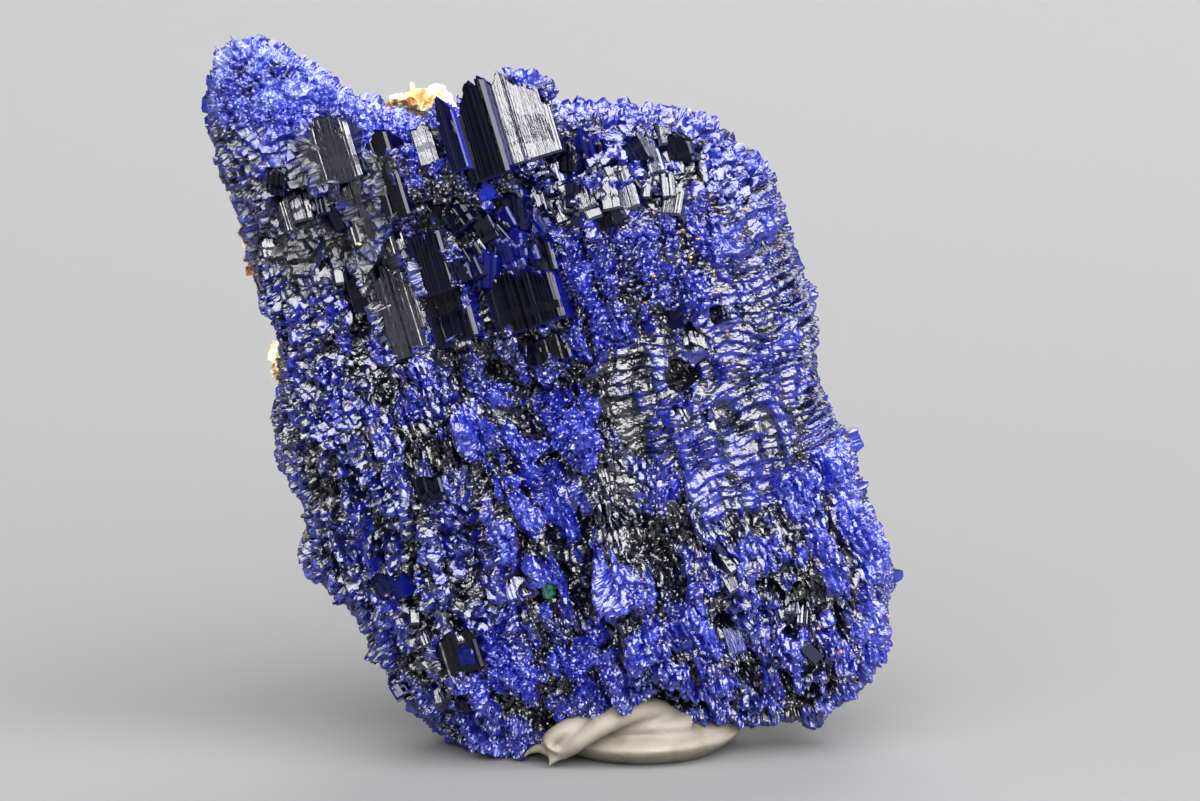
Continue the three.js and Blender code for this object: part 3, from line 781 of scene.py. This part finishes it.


# ---------------------------------------- the large crystals

# Each large crystal: the place of its foot's middle on the front, its width, and the heights of its top from
# left to right. turn turns its face to the left, lean tips its face upwards and roll tips its top to the
# left, in degrees. blue is its tone, and rim how much bluer its edges are, painted light shining through
# them. A dark one is glossy black. proud is how far its face stands in front of the surface where it is
# seated; below 0, the face is behind it.
Crystal = namedtuple(
    "Crystal",
    ("foot", "width", "tops", "turn", "lean", "blue", "dark", "rim", "proud", "roll"),
    defaults=(False, 0.10, -0.60, 0.0),
)
LARGE_CRYSTALS = [
    Crystal((-6.1, 39.2), 1.30, (3.2, 5.1, 4.4, 3.6), 19, 12, 0.10, dark=True, rim=0.50, proud=0.05),
    Crystal((-4.1, 38.7), 2.90, (4.2, 4.6, 6.3, 6.4, 5.9), 17, 13, 0.02, dark=True, rim=0.30, proud=0.05),
    Crystal((-1.1, 40.0), 3.60, (5.2, 6.2, 5.2, 4.4, 3.4), 3, 15, 0.10, proud=0.05),
    Crystal((-10.2, 36.0), 1.80, (4.8, 5.7, 5.2), 22, 11, 0.02, dark=True),
    Crystal((-8.0, 39.6), 1.50, (2.4, 2.6, 2.0), -8, 9, 0.15),
    Crystal((-14.2, 38.3), 3.70, (3.0, 4.4, 4.5, 3.4), 19, 10, 0.05),
    Crystal((-12.2, 34.1), 2.00, (4.0, 4.3, 4.1), 12, 9, 0.05),
    Crystal((-16.6, 35.2), 2.60, (2.2, 2.8, 2.2), 15, 10, 0.08),
    Crystal((-12.6, 29.8), 1.40, (2.0, 2.4, 2.2), 17, 10, 0.02, dark=True),
    Crystal((-9.3, 26.7), 3.20, (5.4, 6.2, 7.7, 7.9), 13, 10, 0.05),
    Crystal((-7.6, 31.0), 2.50, (3.7, 4.0, 3.6), 17, 13, 0.04, dark=True),
    Crystal((-6.3, 27.7), 3.20, (3.3, 3.5, 3.6, 3.2), 21, 15, 0.01, dark=True, rim=0.40),
    Crystal((-1.4, 28.7), 4.90, (2.9, 3.8, 3.9, 3.6, 2.6), 18, 15, 0.01, dark=True, rim=0.45),
    Crystal((-0.5, 32.3), 1.90, (2.0, 2.5, 1.8), 23, 14, 0.03, dark=True, rim=0.40),
    Crystal((0.1, 26.3), 2.70, (1.6, 1.8, 1.7), 20, 12, 0.02, dark=True, rim=0.50),
    Crystal((-4.1, 37.3), 1.40, (0.9, 1.2, 0.8), 0, 4, 0.72, dark=True),
    Crystal((-2.2, 36.2), 1.40, (1.5, 1.8, 1.7), 19, 10, 0.34, dark=True),
    Crystal((-0.8, 36.4), 1.20, (1.6, 2.0, 1.7), 4, 26, 0.20),
    Crystal((0.6, 38.4), 1.10, (1.8, 2.2, 1.6), 0, 16, 0.72),
    Crystal((-2.5, 34.2), 1.00, (1.5, 1.9, 1.4), 20, 11, 0.02, dark=True),
    Crystal((4.5, 38.2), 1.90, (1.4, 1.8, 1.3), -6, 28, 0.20),
    Crystal((5.0, 36.6), 1.70, (1.2, 1.6, 1.7), 10, 30, 0.20),
    Crystal((4.2, 34.9), 2.00, (1.4, 1.8, 1.3), 17, 12, 0.02, dark=True),
    Crystal((6.8, 39.0), 1.20, (2.0, 2.3, 1.7), 14, 27, 0.25),
    Crystal((8.6, 39.6), 1.70, (1.8, 2.2, 1.6), 20, 11, 0.03, dark=True),
    Crystal((9.6, 26.9), 1.80, (1.4, 1.7, 1.2), 0, 22, 0.25),
    Crystal((-6.2, 5.1), 3.40, (2.2, 2.9, 2.4), 19, 12, 0.01, dark=True),
    Crystal((-11.1, 10.4), 1.30, (1.3, 1.6, 1.2), 20, 12, 0.25, dark=True),
    Crystal((-8.0, 16.7), 1.90, (1.6, 2.1, 1.7), 17, 14, 0.04, dark=True),
    Crystal((12.3, 10.5), 1.35, (3.2, 3.7, 3.3), 10, 12, 0.52),
    Crystal((12.4, 6.5), 1.20, (2.0, 2.4, 2.2), 4, 12, 0.52),
    Crystal((15.9, 9.0), 1.50, (2.0, 2.4, 1.8), 8, 24, 0.20),
    Crystal((-2.2, 10.3), 1.80, (1.2, 1.6, 1.1), -6, 14, 0.50),
    Crystal((-1.6, 8.0), 1.00, (1.2, 1.5, 1.1), 6, 16, 0.40),
    Crystal((-3.0, 17.2), 0.50, (0.9, 1.1, 0.9), 0, 26, 0.80),
]
# Groups of smaller ones, scattered: the middle of each group, its half-width and half-height, how many there
# are, the share that are dark, and the range of their widths.
SCATTERED = [
    dict(at=(3.6, 38.4), spread=(4.4, 3.0), count=26, dark=0.45, widths=(0.6, 1.5)),
    dict(at=(-2.6, 34.8), spread=(2.6, 2.4), count=9, dark=0.75, widths=(0.6, 1.3)),
    dict(at=(-16.5, 34.5), spread=(3.0, 3.6), count=8, dark=0.6, widths=(0.7, 1.6)),
    dict(at=(-8.0, 8.0), spread=(4.0, 5.5), count=12, dark=0.5, widths=(0.5, 1.3)),
    dict(at=(9.0, 25.5), spread=(3.0, 4.0), count=7, dark=0.4, widths=(0.5, 1.1)),
    dict(at=(14.5, 9.5), spread=(3.0, 3.0), count=6, dark=0.0, widths=(0.6, 1.1)),
    dict(at=(-3.2, 33.6), spread=(3.4, 2.6), count=14, dark=0.93, widths=(0.9, 1.9)),
]
SEAT_SHARE = 0.22  # a crystal stands on the surface at this share of its height
TYPICAL_DEPTH = -8.0  # where the front surface is looked for first
SEAT_SIDES = (-0.3, 0.0, 0.3)  # the shares of a crystal's width at which the surface behind it is measured
STRIP = 0.10  # width of one groove's side
FACE_ROWS = 8  # points up each groove's side
BURIED = 0.15  # a crystal goes on below its foot by this much
BEVEL = 0.12  # the top and foot of a face slope back by this much
SIDE_BEVEL = 0.121  # its sides slope back by this much
SIDE_SHARE = 0.08  # over this share of its width, on each side
PLAIN_TOP = 0.28  # a face's even rows of points end this far below its top
LEDGE_STEP = 0.06  # a face steps in or out by up to this much at each of its two ledges
# Painted light: the blue of light shining through a thin edge is painted within RIM_WIDTH of it.
RIM_WIDTH = 0.16  # a face turns bluer within this distance of its edge
CLEARANCE = 0.45  # the surface is pressed in this far under a large crystal's face
DARK_ANGLES = (20, 12)  # the turn and lean at which a face reflects dark surroundings
SILVERY_ANGLES = (-4, 24)  # and at which it reflects the key light


def scattered_crystals():
    """The smaller crystals of SCATTERED, like the entries of LARGE_CRYSTALS."""
    rng = np.random.default_rng(SEED + 2)
    crystals = []
    for group in SCATTERED:
        for _ in range(group["count"]):
            x, z = np.array(group["at"]) + rng.uniform(-1, 1, 2) * group["spread"]
            width = rng.uniform(*group["widths"])
            dark = bool(rng.uniform() < group["dark"])
            turn, lean = DARK_ANGLES if dark else SILVERY_ANGLES
            crystals.append(
                Crystal(
                    foot=(x, z),
                    width=width,
                    tops=tuple(width * rng.uniform(0.7, 1.5, 3)),
                    turn=turn + rng.normal(0, 12),
                    lean=lean + rng.normal(0, 9),
                    roll=rng.uniform(-26, 26),
                    blue=rng.choice((0.04, 0.10, 0.35)) if dark else 0.12,
                    dark=dark,
                    proud=-0.25,
                )
            )
    return crystals


def crystal_axes(crystal):
    """A large crystal's directions: to its right, up it, and out of its face."""
    lean, turn, roll = (math.radians(angle) for angle in (crystal.lean, crystal.turn, crystal.roll))
    back = np.array([0.0, 1.0, 0.0])
    upward = GROWTH * math.cos(lean) + back * math.sin(lean)
    outward = GROWTH * math.sin(lean) - back * math.cos(lean)
    right = ACROSS * math.cos(turn) + outward * math.sin(turn)
    outward = outward * math.cos(turn) - ACROSS * math.sin(turn)
    rolled_right = right * math.cos(roll) + upward * math.sin(roll)
    rolled_upward = upward * math.cos(roll) - right * math.sin(roll)
    return rolled_right, rolled_upward, outward


def crystal_foot(crystal, tree):
    """Where the middle of a crystal's foot is: behind its place on the front, so deep that it is seated."""
    right, upward, outward = crystal_axes(crystal)
    rise = SEAT_SHARE * max(crystal.tops)
    depth = TYPICAL_DEPTH
    for _ in range(3):
        foot = from_front(crystal.foot, depth)
        depths = []
        for side in SEAT_SIDES:
            start = foot + upward * rise + right * side * crystal.width
            hit = tree.ray_cast(Vector((start[0], -50, start[2])), Vector((0, 1, 0)))[0]
            if hit is not None:
                depths.append(hit.y - (start[1] - foot[1]))
        if depths:
            depth = min(depths) - crystal.proud
    return from_front(crystal.foot, depth)


def cleared(points, crystals):
    """How far within a large crystal's outline each point is, from 0 to 1, and how far it has to sink."""
    under = np.zeros(len(points))
    sunk = np.zeros(len(points))
    ragged = 0.40 * smooth_noise(points, 0.9, SEED + 55) + 0.12 * smooth_noise(points, 0.3, SEED + 58)
    ragged = ragged + 0.22
    for crystal, foot in crystals:
        right, upward, outward = crystal_axes(crystal)
        offset = points - foot
        side = np.abs(offset @ right) - crystal.width / 2 + ragged
        rise = offset @ upward
        share = np.clip(offset @ right / crystal.width + 0.5, 0, 1)
        tops = np.interp(share, np.linspace(0, 1, len(crystal.tops)), crystal.tops)
        within = smoothstep(0.12, -0.12, side) * smoothstep(-0.1, 0.15, rise - ragged)
        within = within * smoothstep(0.15, -0.05, rise - tops + ragged)
        above = offset @ outward
        within = within * (np.abs(above) < 3.0) * (points[:, 1] < 2.0)
        under = np.maximum(under, within)
        sunk = np.maximum(sunk, within * np.maximum(above + CLEARANCE, 0))
    return under, sunk


def face_columns(crystal, strips, rng):
    """The two edges of each groove's side: each one's share across the face, and how far it stands out."""
    inner = (np.arange(1, strips) + rng.uniform(-0.4, 0.4, strips - 1)) / strips
    edges = np.sort(np.concatenate([[0, 1], inner]))
    level = rng.normal(0, 0.018, strips)
    level += np.repeat(rng.normal(0, 0.07, strips), rng.integers(3, 8, strips))[:strips]
    share_tilted = 0.10 if crystal.dark else 0.25
    tilt = rng.normal(0, 0.04, strips)
    tilt += rng.normal(0, 0.45, strips) * (rng.uniform(0, 1, strips) < share_tilted)
    columns = []
    for n in range(strips):
        half = (edges[n + 1] - edges[n]) * crystal.width / 2
        for end in (0, 1):
            share = edges[n + end]
            bevel = SIDE_BEVEL * max(0, abs(share - 0.5) - 0.5 + SIDE_SHARE) / SIDE_SHARE
            columns.append((share, level[n] + tilt[n] * half * (2 * end - 1) - bevel))
    return columns


def large_crystal(crystal, foot, rng):
    """One large crystal as points, triangles and tones: a grooved face, a bevelled top and plain sides."""
    right, upward, outward = crystal_axes(crystal)
    half_width = crystal.width / 2
    strips = max(4, round(crystal.width / STRIP))
    columns = face_columns(crystal, strips, rng)
    broken = np.repeat(rng.normal(0, 0.22, strips), rng.integers(2, 6, strips))[:strips]
    jagged = np.repeat(broken + rng.normal(0, 0.04, strips), 2)
    ledges = np.sort(rng.uniform(0.2, 0.9, 2))
    ledge_steps = rng.uniform(-LEDGE_STEP, LEDGE_STEP, 2)
    deep = 1.6 + 0.3 * crystal.width
    points, tones = [], []
    for n, (share, face) in enumerate(columns):
        top = np.interp(share, np.linspace(0, 1, len(crystal.tops)), crystal.tops) + jagged[n]
        side = share * crystal.width - half_width
        rows = np.concatenate([[-BURIED], np.linspace(0, top - PLAIN_TOP, FACE_ROWS - 2), [top - BEVEL, top]])
        for row, rise in enumerate(rows):
            out = face + (ledge_steps * (rise / top > ledges)).sum() - (BEVEL if row in (0, FACE_ROWS) else 0)
            points.append(foot + right * side + upward * rise + outward * out)
            # Painted light: tones are raised near the face's edges, standing for light shining through thin
            # azurite.
            inside = min(half_width + side, half_width - side, rise + BURIED, top - rise)
            rim = crystal.rim * smoothstep(-RIM_WIDTH, 0.0, -inside)
            tones.append(crystal.blue + rim + rng.normal(0, 0.02))
        for rise in (top - 0.35 * deep, -BURIED - 0.1):
            points.append(foot + right * side + upward * rise - outward * deep)
            tones.append(crystal.blue + 0.12)
    return np.array(points), lofted(len(columns), FACE_ROWS + 3), np.clip(tones, 0, 1)


def lofted(count, ring):
    """The triangles of a closed solid whose points are that many rings, one after the other."""
    grid = np.arange(count * ring).reshape(count, ring)
    first, second = grid[:-1], grid[1:]
    ahead_first, ahead_second = np.roll(first, -1, 1), np.roll(second, -1, 1)
    walls = [np.stack([first, second, ahead_second], -1), np.stack([first, ahead_second, ahead_first], -1)]
    fan = np.arange(1, ring - 1)
    start = np.stack([np.full(len(fan), grid[0, 0]), grid[0, fan], grid[0, fan + 1]], 1)
    end = np.stack([np.full(len(fan), grid[-1, 0]), grid[-1, fan + 1], grid[-1, fan]], 1)
    return np.concatenate([*(wall.reshape(-1, 3) for wall in walls), start, end])


def build_large_crystals(crystals):
    """The black crystals as one piece and the silvery ones as another."""
    rng = np.random.default_rng(SEED + 1)
    groups = {True: [], False: []}
    for crystal, foot in crystals:
        groups[crystal.dark].append(large_crystal(crystal, foot, rng))
    kinds = [(True, "black_crystals", DARK_CRYSTAL), (False, "silvery_crystals", CRYSTAL)]
    for dark, name, material in kinds:
        points, triangles, blue = joined(groups[dark])
        finish_piece(name, points, triangles, material, values={"blue": blue})


def joined(parts):
    """Several meshes as one. Each is its points, its triangles and, where it has them, its tones."""
    starts = np.cumsum([0] + [len(part[0]) for part in parts])
    triangles = np.concatenate([part[1] + start for part, start in zip(parts, starts)])
    points, *tones = (np.concatenate(arrays) for n, arrays in enumerate(zip(*parts)) if n != 1)
    return points, triangles, *tones


# ---------------------------------------- host rock, malachite, putty and specks

RUBBLE = dict(cell=(1.5, 1.3, 1.4), turn=0.8, faces=[*eight_sided(0.75), (0, 0, 1, 0.8), (0, 1, 0, 0.8)])
CRUMBS = dict(cell=(0.45, 0.45, 0.45), turn=0.8, faces=eight_sided(0.24))
ROCK_VOXEL = 0.22
PUTTY_VOXEL = 0.16


def build_rock():
    """The limonite behind the azurite: broken rock with rubble and crumbs on it, with painted shade darkening
    its hollows.
    """
    points, normals, triangles = mesh_arrays(remeshed(node_mesh("host_rock"), ROCK_VOXEL, 4))
    grown, outward = warped(points), growth_frame(normals)
    rubble, stone = crystal_field(grown, outward, RUBBLE, SEED + 120)
    crumbs, crumb = crystal_field(grown, outward, CRUMBS, SEED + 130)
    height = 0.50 * np.clip(rubble - 0.6, -0.9, 0.4) + 0.45 * np.clip(crumbs - 0.12, -0.22, 0.32)
    height += 0.28 * rough_noise(points, 2.0, SEED + 140) + 0.07 * smooth_noise(points, 0.22, SEED + 150)
    # stain is partly the stones' and crumbs' own tone and partly painted shade, lowered in the hollows.
    stain = 0.05 + 0.10 * (stone - 0.5) + 0.14 * (crumb - 0.5) - 0.22 * smoothstep(0.0, -0.5, height)
    points = points + normals * height[:, None]
    finish_piece("limonite_matrix", points, triangles, ROCK, ["host_rock"], {"stain": stain})


NEEDLES = [(-0.22, 1.15), (0.02, 1.35), (0.25, 1.0)]  # each needle's place across and its length
NEEDLE_RINGS = [(-0.5, 0.5), (-0.38, 1.0), (0.28, 0.95), (0.5, 0.2)]  # shares of a needle's length and radius


def build_malachite():
    """The malachite: a bundle of three short needles in place of the CAD crystal."""
    low, high = (np.array(corner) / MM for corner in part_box("malachite_crystal"))
    middle, size = (low + high) / 2, high - low
    rng = np.random.default_rng(SEED + 2)
    parts = []
    for side, length in NEEDLES:
        around = np.linspace(0, 2 * math.pi, 7)[:-1] + rng.uniform(0, 1)
        radius = 0.24 * size[0] / 0.7
        rings = []
        for rise, share in NEEDLE_RINGS:
            ring = middle + ACROSS * side + GROWTH * rise * length
            spread = np.cos(around)[:, None] * ACROSS + np.sin(around)[:, None] * np.array([0, 1.0, 0])
            rings.append(ring + spread * radius * share * rng.uniform(0.85, 1.15, (6, 1)))
        parts.append(tube(rings))
    points, triangles = joined(parts)
    finish_piece("malachite_needles", points, triangles, MALACHITE, ["malachite_crystal"])


def tube(rings):
    """A closed tube through rings of the same number of points, from its foot to its top."""
    around = len(rings[0])
    points = np.concatenate([*rings, rings[0].mean(0)[None], rings[-1].mean(0)[None]])
    triangles = []
    for level in range(len(rings) - 1):
        for n in range(around):
            here, after = level * around + n, level * around + (n + 1) % around
            triangles += [(here, after, after + around), (here, after + around, here + around)]
    foot, top = len(points) - 2, len(points) - 1
    last = (len(rings) - 1) * around
    for n in range(around):
        triangles += [((n + 1) % around, n, foot), (last + n, last + (n + 1) % around, top)]
    return points, np.array(triangles)


# The strand's path, then the end of each of its two cords, in the frame's own millimetres.
PUTTY_STRAND = [(8.6, -3.4, 2.6), (6.4, -4.6, 3.1), (3.6, -5.5, 3.0), (1.4, -5.8, 2.2), (0.0, -5.5, 1.2)]
PUTTY_PRONGS = [[(-1.0, -4.9, 0.9), (-2.2, -4.6, 0.2)], [(-0.1, -5.9, 0.7), (-0.25, -6.1, 0.12)]]
STRAND_RADIUS = 0.95
STRAND_TURNS = 1.3
STRAND_STEPS = 46
STRAND_SIDES = 14
LOBE_RADII = (6.75, 6.9, 2.35)
LOBE_SIDES = 60
LOBE_HEIGHT = 1.25


def along_path(points, steps):
    """Points evenly along a smooth path through some points."""
    points = np.array(points, float)
    places = np.linspace(0, len(points) - 1, steps)
    padded = np.concatenate([2 * points[:1] - points[1:2], points, 2 * points[-1:] - points[-2:-1]])
    result = []
    for place in places:
        n = min(int(place), len(points) - 2)
        t = place - n
        a, b, c, d = padded[n:n + 4]
        square, cube = 2 * a - 5 * b + 4 * c - d, 3 * b - a - 3 * c + d
        result.append(0.5 * (2 * b + (c - a) * t + square * t**2 + cube * t**3))
    return np.array(result)


def putty_lobe():
    """The lobe: a flattened round, its top a little higher towards the right."""
    low, high = (np.array(corner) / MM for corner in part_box("mounting_putty"))
    middle = np.array([high[0] - 6.85, (low[1] + high[1]) / 2 + 0.1, LOBE_HEIGHT])
    turn = np.linspace(0, 2 * math.pi, LOBE_SIDES + 1)[:-1]
    rings = []
    for rise in np.linspace(-0.98, 0.98, 15):
        out = math.sqrt(1 - abs(rise) ** 1.35)
        ring = np.stack([np.cos(turn) * out, np.sin(turn) * out, np.full(LOBE_SIDES, rise)], 1) * LOBE_RADII
        ring[:, 2] += 0.35 * np.maximum(ring[:, 0], 0) / LOBE_RADII[0] * (rise + 1) / 2
        rings.append(middle + ring)
    return tube(rings)


def unit_rows(vectors):
    return vectors / np.linalg.norm(vectors, axis=1)[:, None]


def putty_cord(strand):
    """One of the strand's two cords, twisted round the other and ending in its own prong."""
    centres = along_path(PUTTY_STRAND + PUTTY_PRONGS[strand], STRAND_STEPS)
    share = np.linspace(0, 1, STRAND_STEPS)
    forward = unit_rows(np.gradient(centres, axis=0))
    side = unit_rows(np.cross(forward, (0, 0, 1.0)))
    rise = np.cross(side, forward)
    twist = 2 * math.pi * STRAND_TURNS * share + math.pi * strand
    apart = 0.55 * np.clip(3.2 * (1 - share), 0, 1)
    centres = centres + apart[:, None] * (side * np.cos(twist)[:, None] + rise * np.sin(twist)[:, None])
    radius = STRAND_RADIUS * np.clip(1.9 * (1.03 - share), 0.08, 1) * (1 + 0.1 * np.sin(9 * share + strand))
    around = np.linspace(0, 2 * math.pi, STRAND_SIDES + 1)[:-1]
    rings = []
    for n in range(STRAND_STEPS):
        wide = np.cos(around - twist[n])[:, None] * side[n] * 1.15
        tall = np.sin(around - twist[n])[:, None] * rise[n] * 0.8
        rings.append(centres[n] + (wide + tall) * radius[n])
    return tube(rings)


def build_putty():
    """The putty: a flattened lobe under the specimen and a twisted strand that ends in two prongs."""
    points, triangles = joined([putty_lobe(), putty_cord(0), putty_cord(1)])
    points, normals, triangles = mesh_arrays(remeshed(mesh_from("putty", points, triangles), PUTTY_VOXEL, 5))
    height = 0.07 * rough_noise(points, 2.2, SEED + 150)
    height += 0.03 * rough_noise(points, (0.5, 0.5, 0.9), SEED + 151)
    points = points + normals * height[:, None]
    points[:, 2] = np.maximum(points[:, 2], 0.0)
    finish_piece("white_putty", points, triangles, PUTTY, ["mounting_putty"], smooth=True)


SPECK_STAIN = -0.18
SPECK_COUNT = 90
SPECK_SIZES = (0.05, 0.13)
SPECK_SHAPE = (1.4, 1.0, 0.8)
SPECK_RINGS = [(-0.9, 0.4), (-0.4, 0.95), (0.3, 1.0), (0.8, 0.5)]  # shares of a speck's height and radius
SPECK_SIDES = 5


def closeness(x, z, place, spread):
    """1 at a place on the front, falling to 0 away from it."""
    return np.exp(-((x - place[0]) ** 2 + (z - place[1]) ** 2) / spread)


def build_specks(points, normals):
    """Grains of limonite on the azurite, most of them on its right side and along its edges."""
    rng = np.random.default_rng(SEED + 3)
    x, z = on_front(points)
    front = normals[:, 1] < -0.2
    right = closeness(x, z, (9.5, 34.0), 30.0) * front
    low_right = 0.8 * closeness(x, z, (18.5, 6.5), 12.0)
    hole = 9.0 * closeness(x, z, (9.2, 25.3), 0.35) * front
    edge = 0.14 * (np.abs(normals[:, 1]) < 0.4)
    weight = right + low_right + hole + edge + 0.01
    picked = rng.choice(len(points), SPECK_COUNT, replace=False, p=weight / weight.sum())
    parts = []
    for place in picked:
        rings = []
        turn = np.linspace(0, 2 * math.pi, SPECK_SIDES + 1)[:-1] + rng.uniform(0, 6)
        size = rng.uniform(*SPECK_SIZES)
        for level, share in SPECK_RINGS:
            ring = np.stack([np.cos(turn) * share, np.sin(turn) * share, np.full(SPECK_SIDES, level)], 1)
            uneven = rng.uniform(0.7, 1.3, (SPECK_SIDES, 1))
            rings.append(points[place] + ring * size * uneven * SPECK_SHAPE)
        parts.append(tube(rings))
    speck_points, triangles = joined(parts)
    stain = np.full(len(speck_points), SPECK_STAIN)
    finish_piece("limonite_specks", speck_points, triangles, ROCK, values={"stain": stain})


# ---------------------------------------- build

COARSE_VOXEL = 0.45
mass_points, _, mass_triangles = mesh_arrays(remeshed(node_mesh("azurite_crystal_mass"), COARSE_VOXEL, 2))
mass_tree = BVHTree.FromPolygons([Vector(p) for p in mass_points], mass_triangles.tolist())
large = [(crystal, crystal_foot(crystal, mass_tree)) for crystal in LARGE_CRYSTALS + scattered_crystals()]
base, base_normals, grown_points, grown_triangles, looks = build_surface(large)
build_slabs(base, base_normals, grown_points, grown_triangles, looks)
build_large_crystals(large)
build_rock()
build_malachite()
build_putty()
build_specks(grown_points, base_normals)

# ---------------------------------------- floor, light and camera

FLOOR_RADIUS = 4.0
# Painted light: the floor's colour is paler behind the specimen, and it glows far away.
FLOOR_FADE = 0.05, 0.70  # distances behind the specimen, in metres, between which the floor turns paler
FLOOR_TONES = [(0.0, (0.132, 0.132, 0.134)), (1.0, (0.235, 0.235, 0.237))]
FLOOR_REACH = 0.75, 1.90  # distances from the specimen, in metres, over which the floor comes to glow
FLOOR_GLOW = [(0.0, (0, 0, 0)), (1.0, (0.34, 0.34, 0.345))]
BACKDROP_TONES = [(0.06, (0.36, 0.36, 0.37)), (0.18, (0.04, 0.04, 0.045))]  # by how far up a direction points


def build_floor():
    """A plain pale floor, with painted light that makes it paler behind the specimen and glow far away, so
    that it fades into the backdrop.
    """
    bpy.ops.mesh.primitive_circle_add(vertices=96, radius=FLOOR_RADIUS, fill_type="NGON")
    floor = bpy.context.object
    floor.name = "floor"
    nodes = Nodes("pale_floor")
    coordinates = nodes.tree.nodes.new("ShaderNodeTexCoord").outputs["Object"]
    place = nodes.add("ShaderNodeSeparateXYZ", Vector=coordinates)
    color = nodes.ramp(nodes.spread(place.outputs["Y"], *FLOOR_FADE), FLOOR_TONES)
    reach = nodes.tree.nodes.new("ShaderNodeVectorMath")
    reach.operation = "LENGTH"
    nodes.put(reach.inputs[0], coordinates)
    glow = nodes.ramp(nodes.spread(reach.outputs["Value"], *FLOOR_REACH), FLOOR_GLOW)
    material = nodes.surface(Base_Color=color, Roughness=0.75, Emission_Color=glow, Emission_Strength=1.0)
    floor.data.materials.append(material)


LIGHT_DISTANCE = 1.3  # metres
LIGHT_AIM_HEIGHT = 0.024  # metres, half the specimen's height
LIGHTS = {  # each one's direction as azimuth and elevation, its width and height in metres, and its radiance
    "key": (12, 48, (2.2, 1.6), 9.0),
    "front_fill": (10, 18, (0.8, 0.55), 4.5),
    "left": (-62, 34, (0.6, 0.6), 3.0),
    "right": (66, 32, (0.9, 1.0), 4.5),
    "behind": (168, 48, (1.3, 0.8), 5.0),
}


def softbox(name, azimuth, elevation, size, radiance):
    """A soft rectangular light facing the specimen, by its direction in degrees and how bright it looks."""
    turn, rise = math.radians(azimuth), math.radians(elevation)
    toward = Vector((math.sin(turn) * math.cos(rise), -math.cos(turn) * math.cos(rise), math.sin(rise)))
    data = bpy.data.lights.new(name, "AREA")
    data.shape = "RECTANGLE"
    data.size, data.size_y = size
    data.energy = radiance * math.pi * size[0] * size[1]
    light = bpy.data.objects.new(name, data)
    light.location = toward * LIGHT_DISTANCE + Vector((0, 0, LIGHT_AIM_HEIGHT))
    light.rotation_euler = (-toward).to_track_quat("-Z", "Y").to_euler()
    bpy.context.scene.collection.objects.link(light)


def build_light():
    """Soft boxes round the specimen, and a backdrop that is pale at the horizon and dark above it."""
    for name, light in LIGHTS.items():
        softbox(name, *light)
    world = bpy.data.worlds.new("studio")
    bpy.context.scene.world = world
    world.use_nodes = True
    tree = world.node_tree
    height = tree.nodes.new("ShaderNodeSeparateXYZ")
    tree.links.new(tree.nodes.new("ShaderNodeTexCoord").outputs["Generated"], height.inputs["Vector"])
    wall = tree.nodes.new("ShaderNodeValToRGB")
    for element, (position, color) in zip(wall.color_ramp.elements, BACKDROP_TONES):
        element.position = position
        element.color = (*color, 1.0)
    tree.links.new(height.outputs["Z"], wall.inputs["Fac"])
    tree.links.new(wall.outputs["Color"], tree.nodes["Background"].inputs["Color"])
    bpy.context.scene.view_settings.view_transform = "Standard"


def build_camera():
    """A long lens that looks slightly down at the front."""
    data = bpy.data.cameras.new("camera")
    data.lens = 140
    data.sensor_width = 36
    data.clip_start = 0.01
    camera = bpy.data.objects.new("camera", data)
    aim = Vector((VIEW_AIM[0], 0, VIEW_AIM[1])) * MM
    away = Vector((0, -math.cos(VIEW_ELEVATION), math.sin(VIEW_ELEVATION)))
    camera.location = aim + away * VIEW_DISTANCE * MM
    camera.rotation_euler = (aim - camera.location).to_track_quat("-Z", "Y").to_euler()
    bpy.context.scene.collection.objects.link(camera)
    bpy.context.scene.camera = camera


build_floor()
build_light()
build_camera()
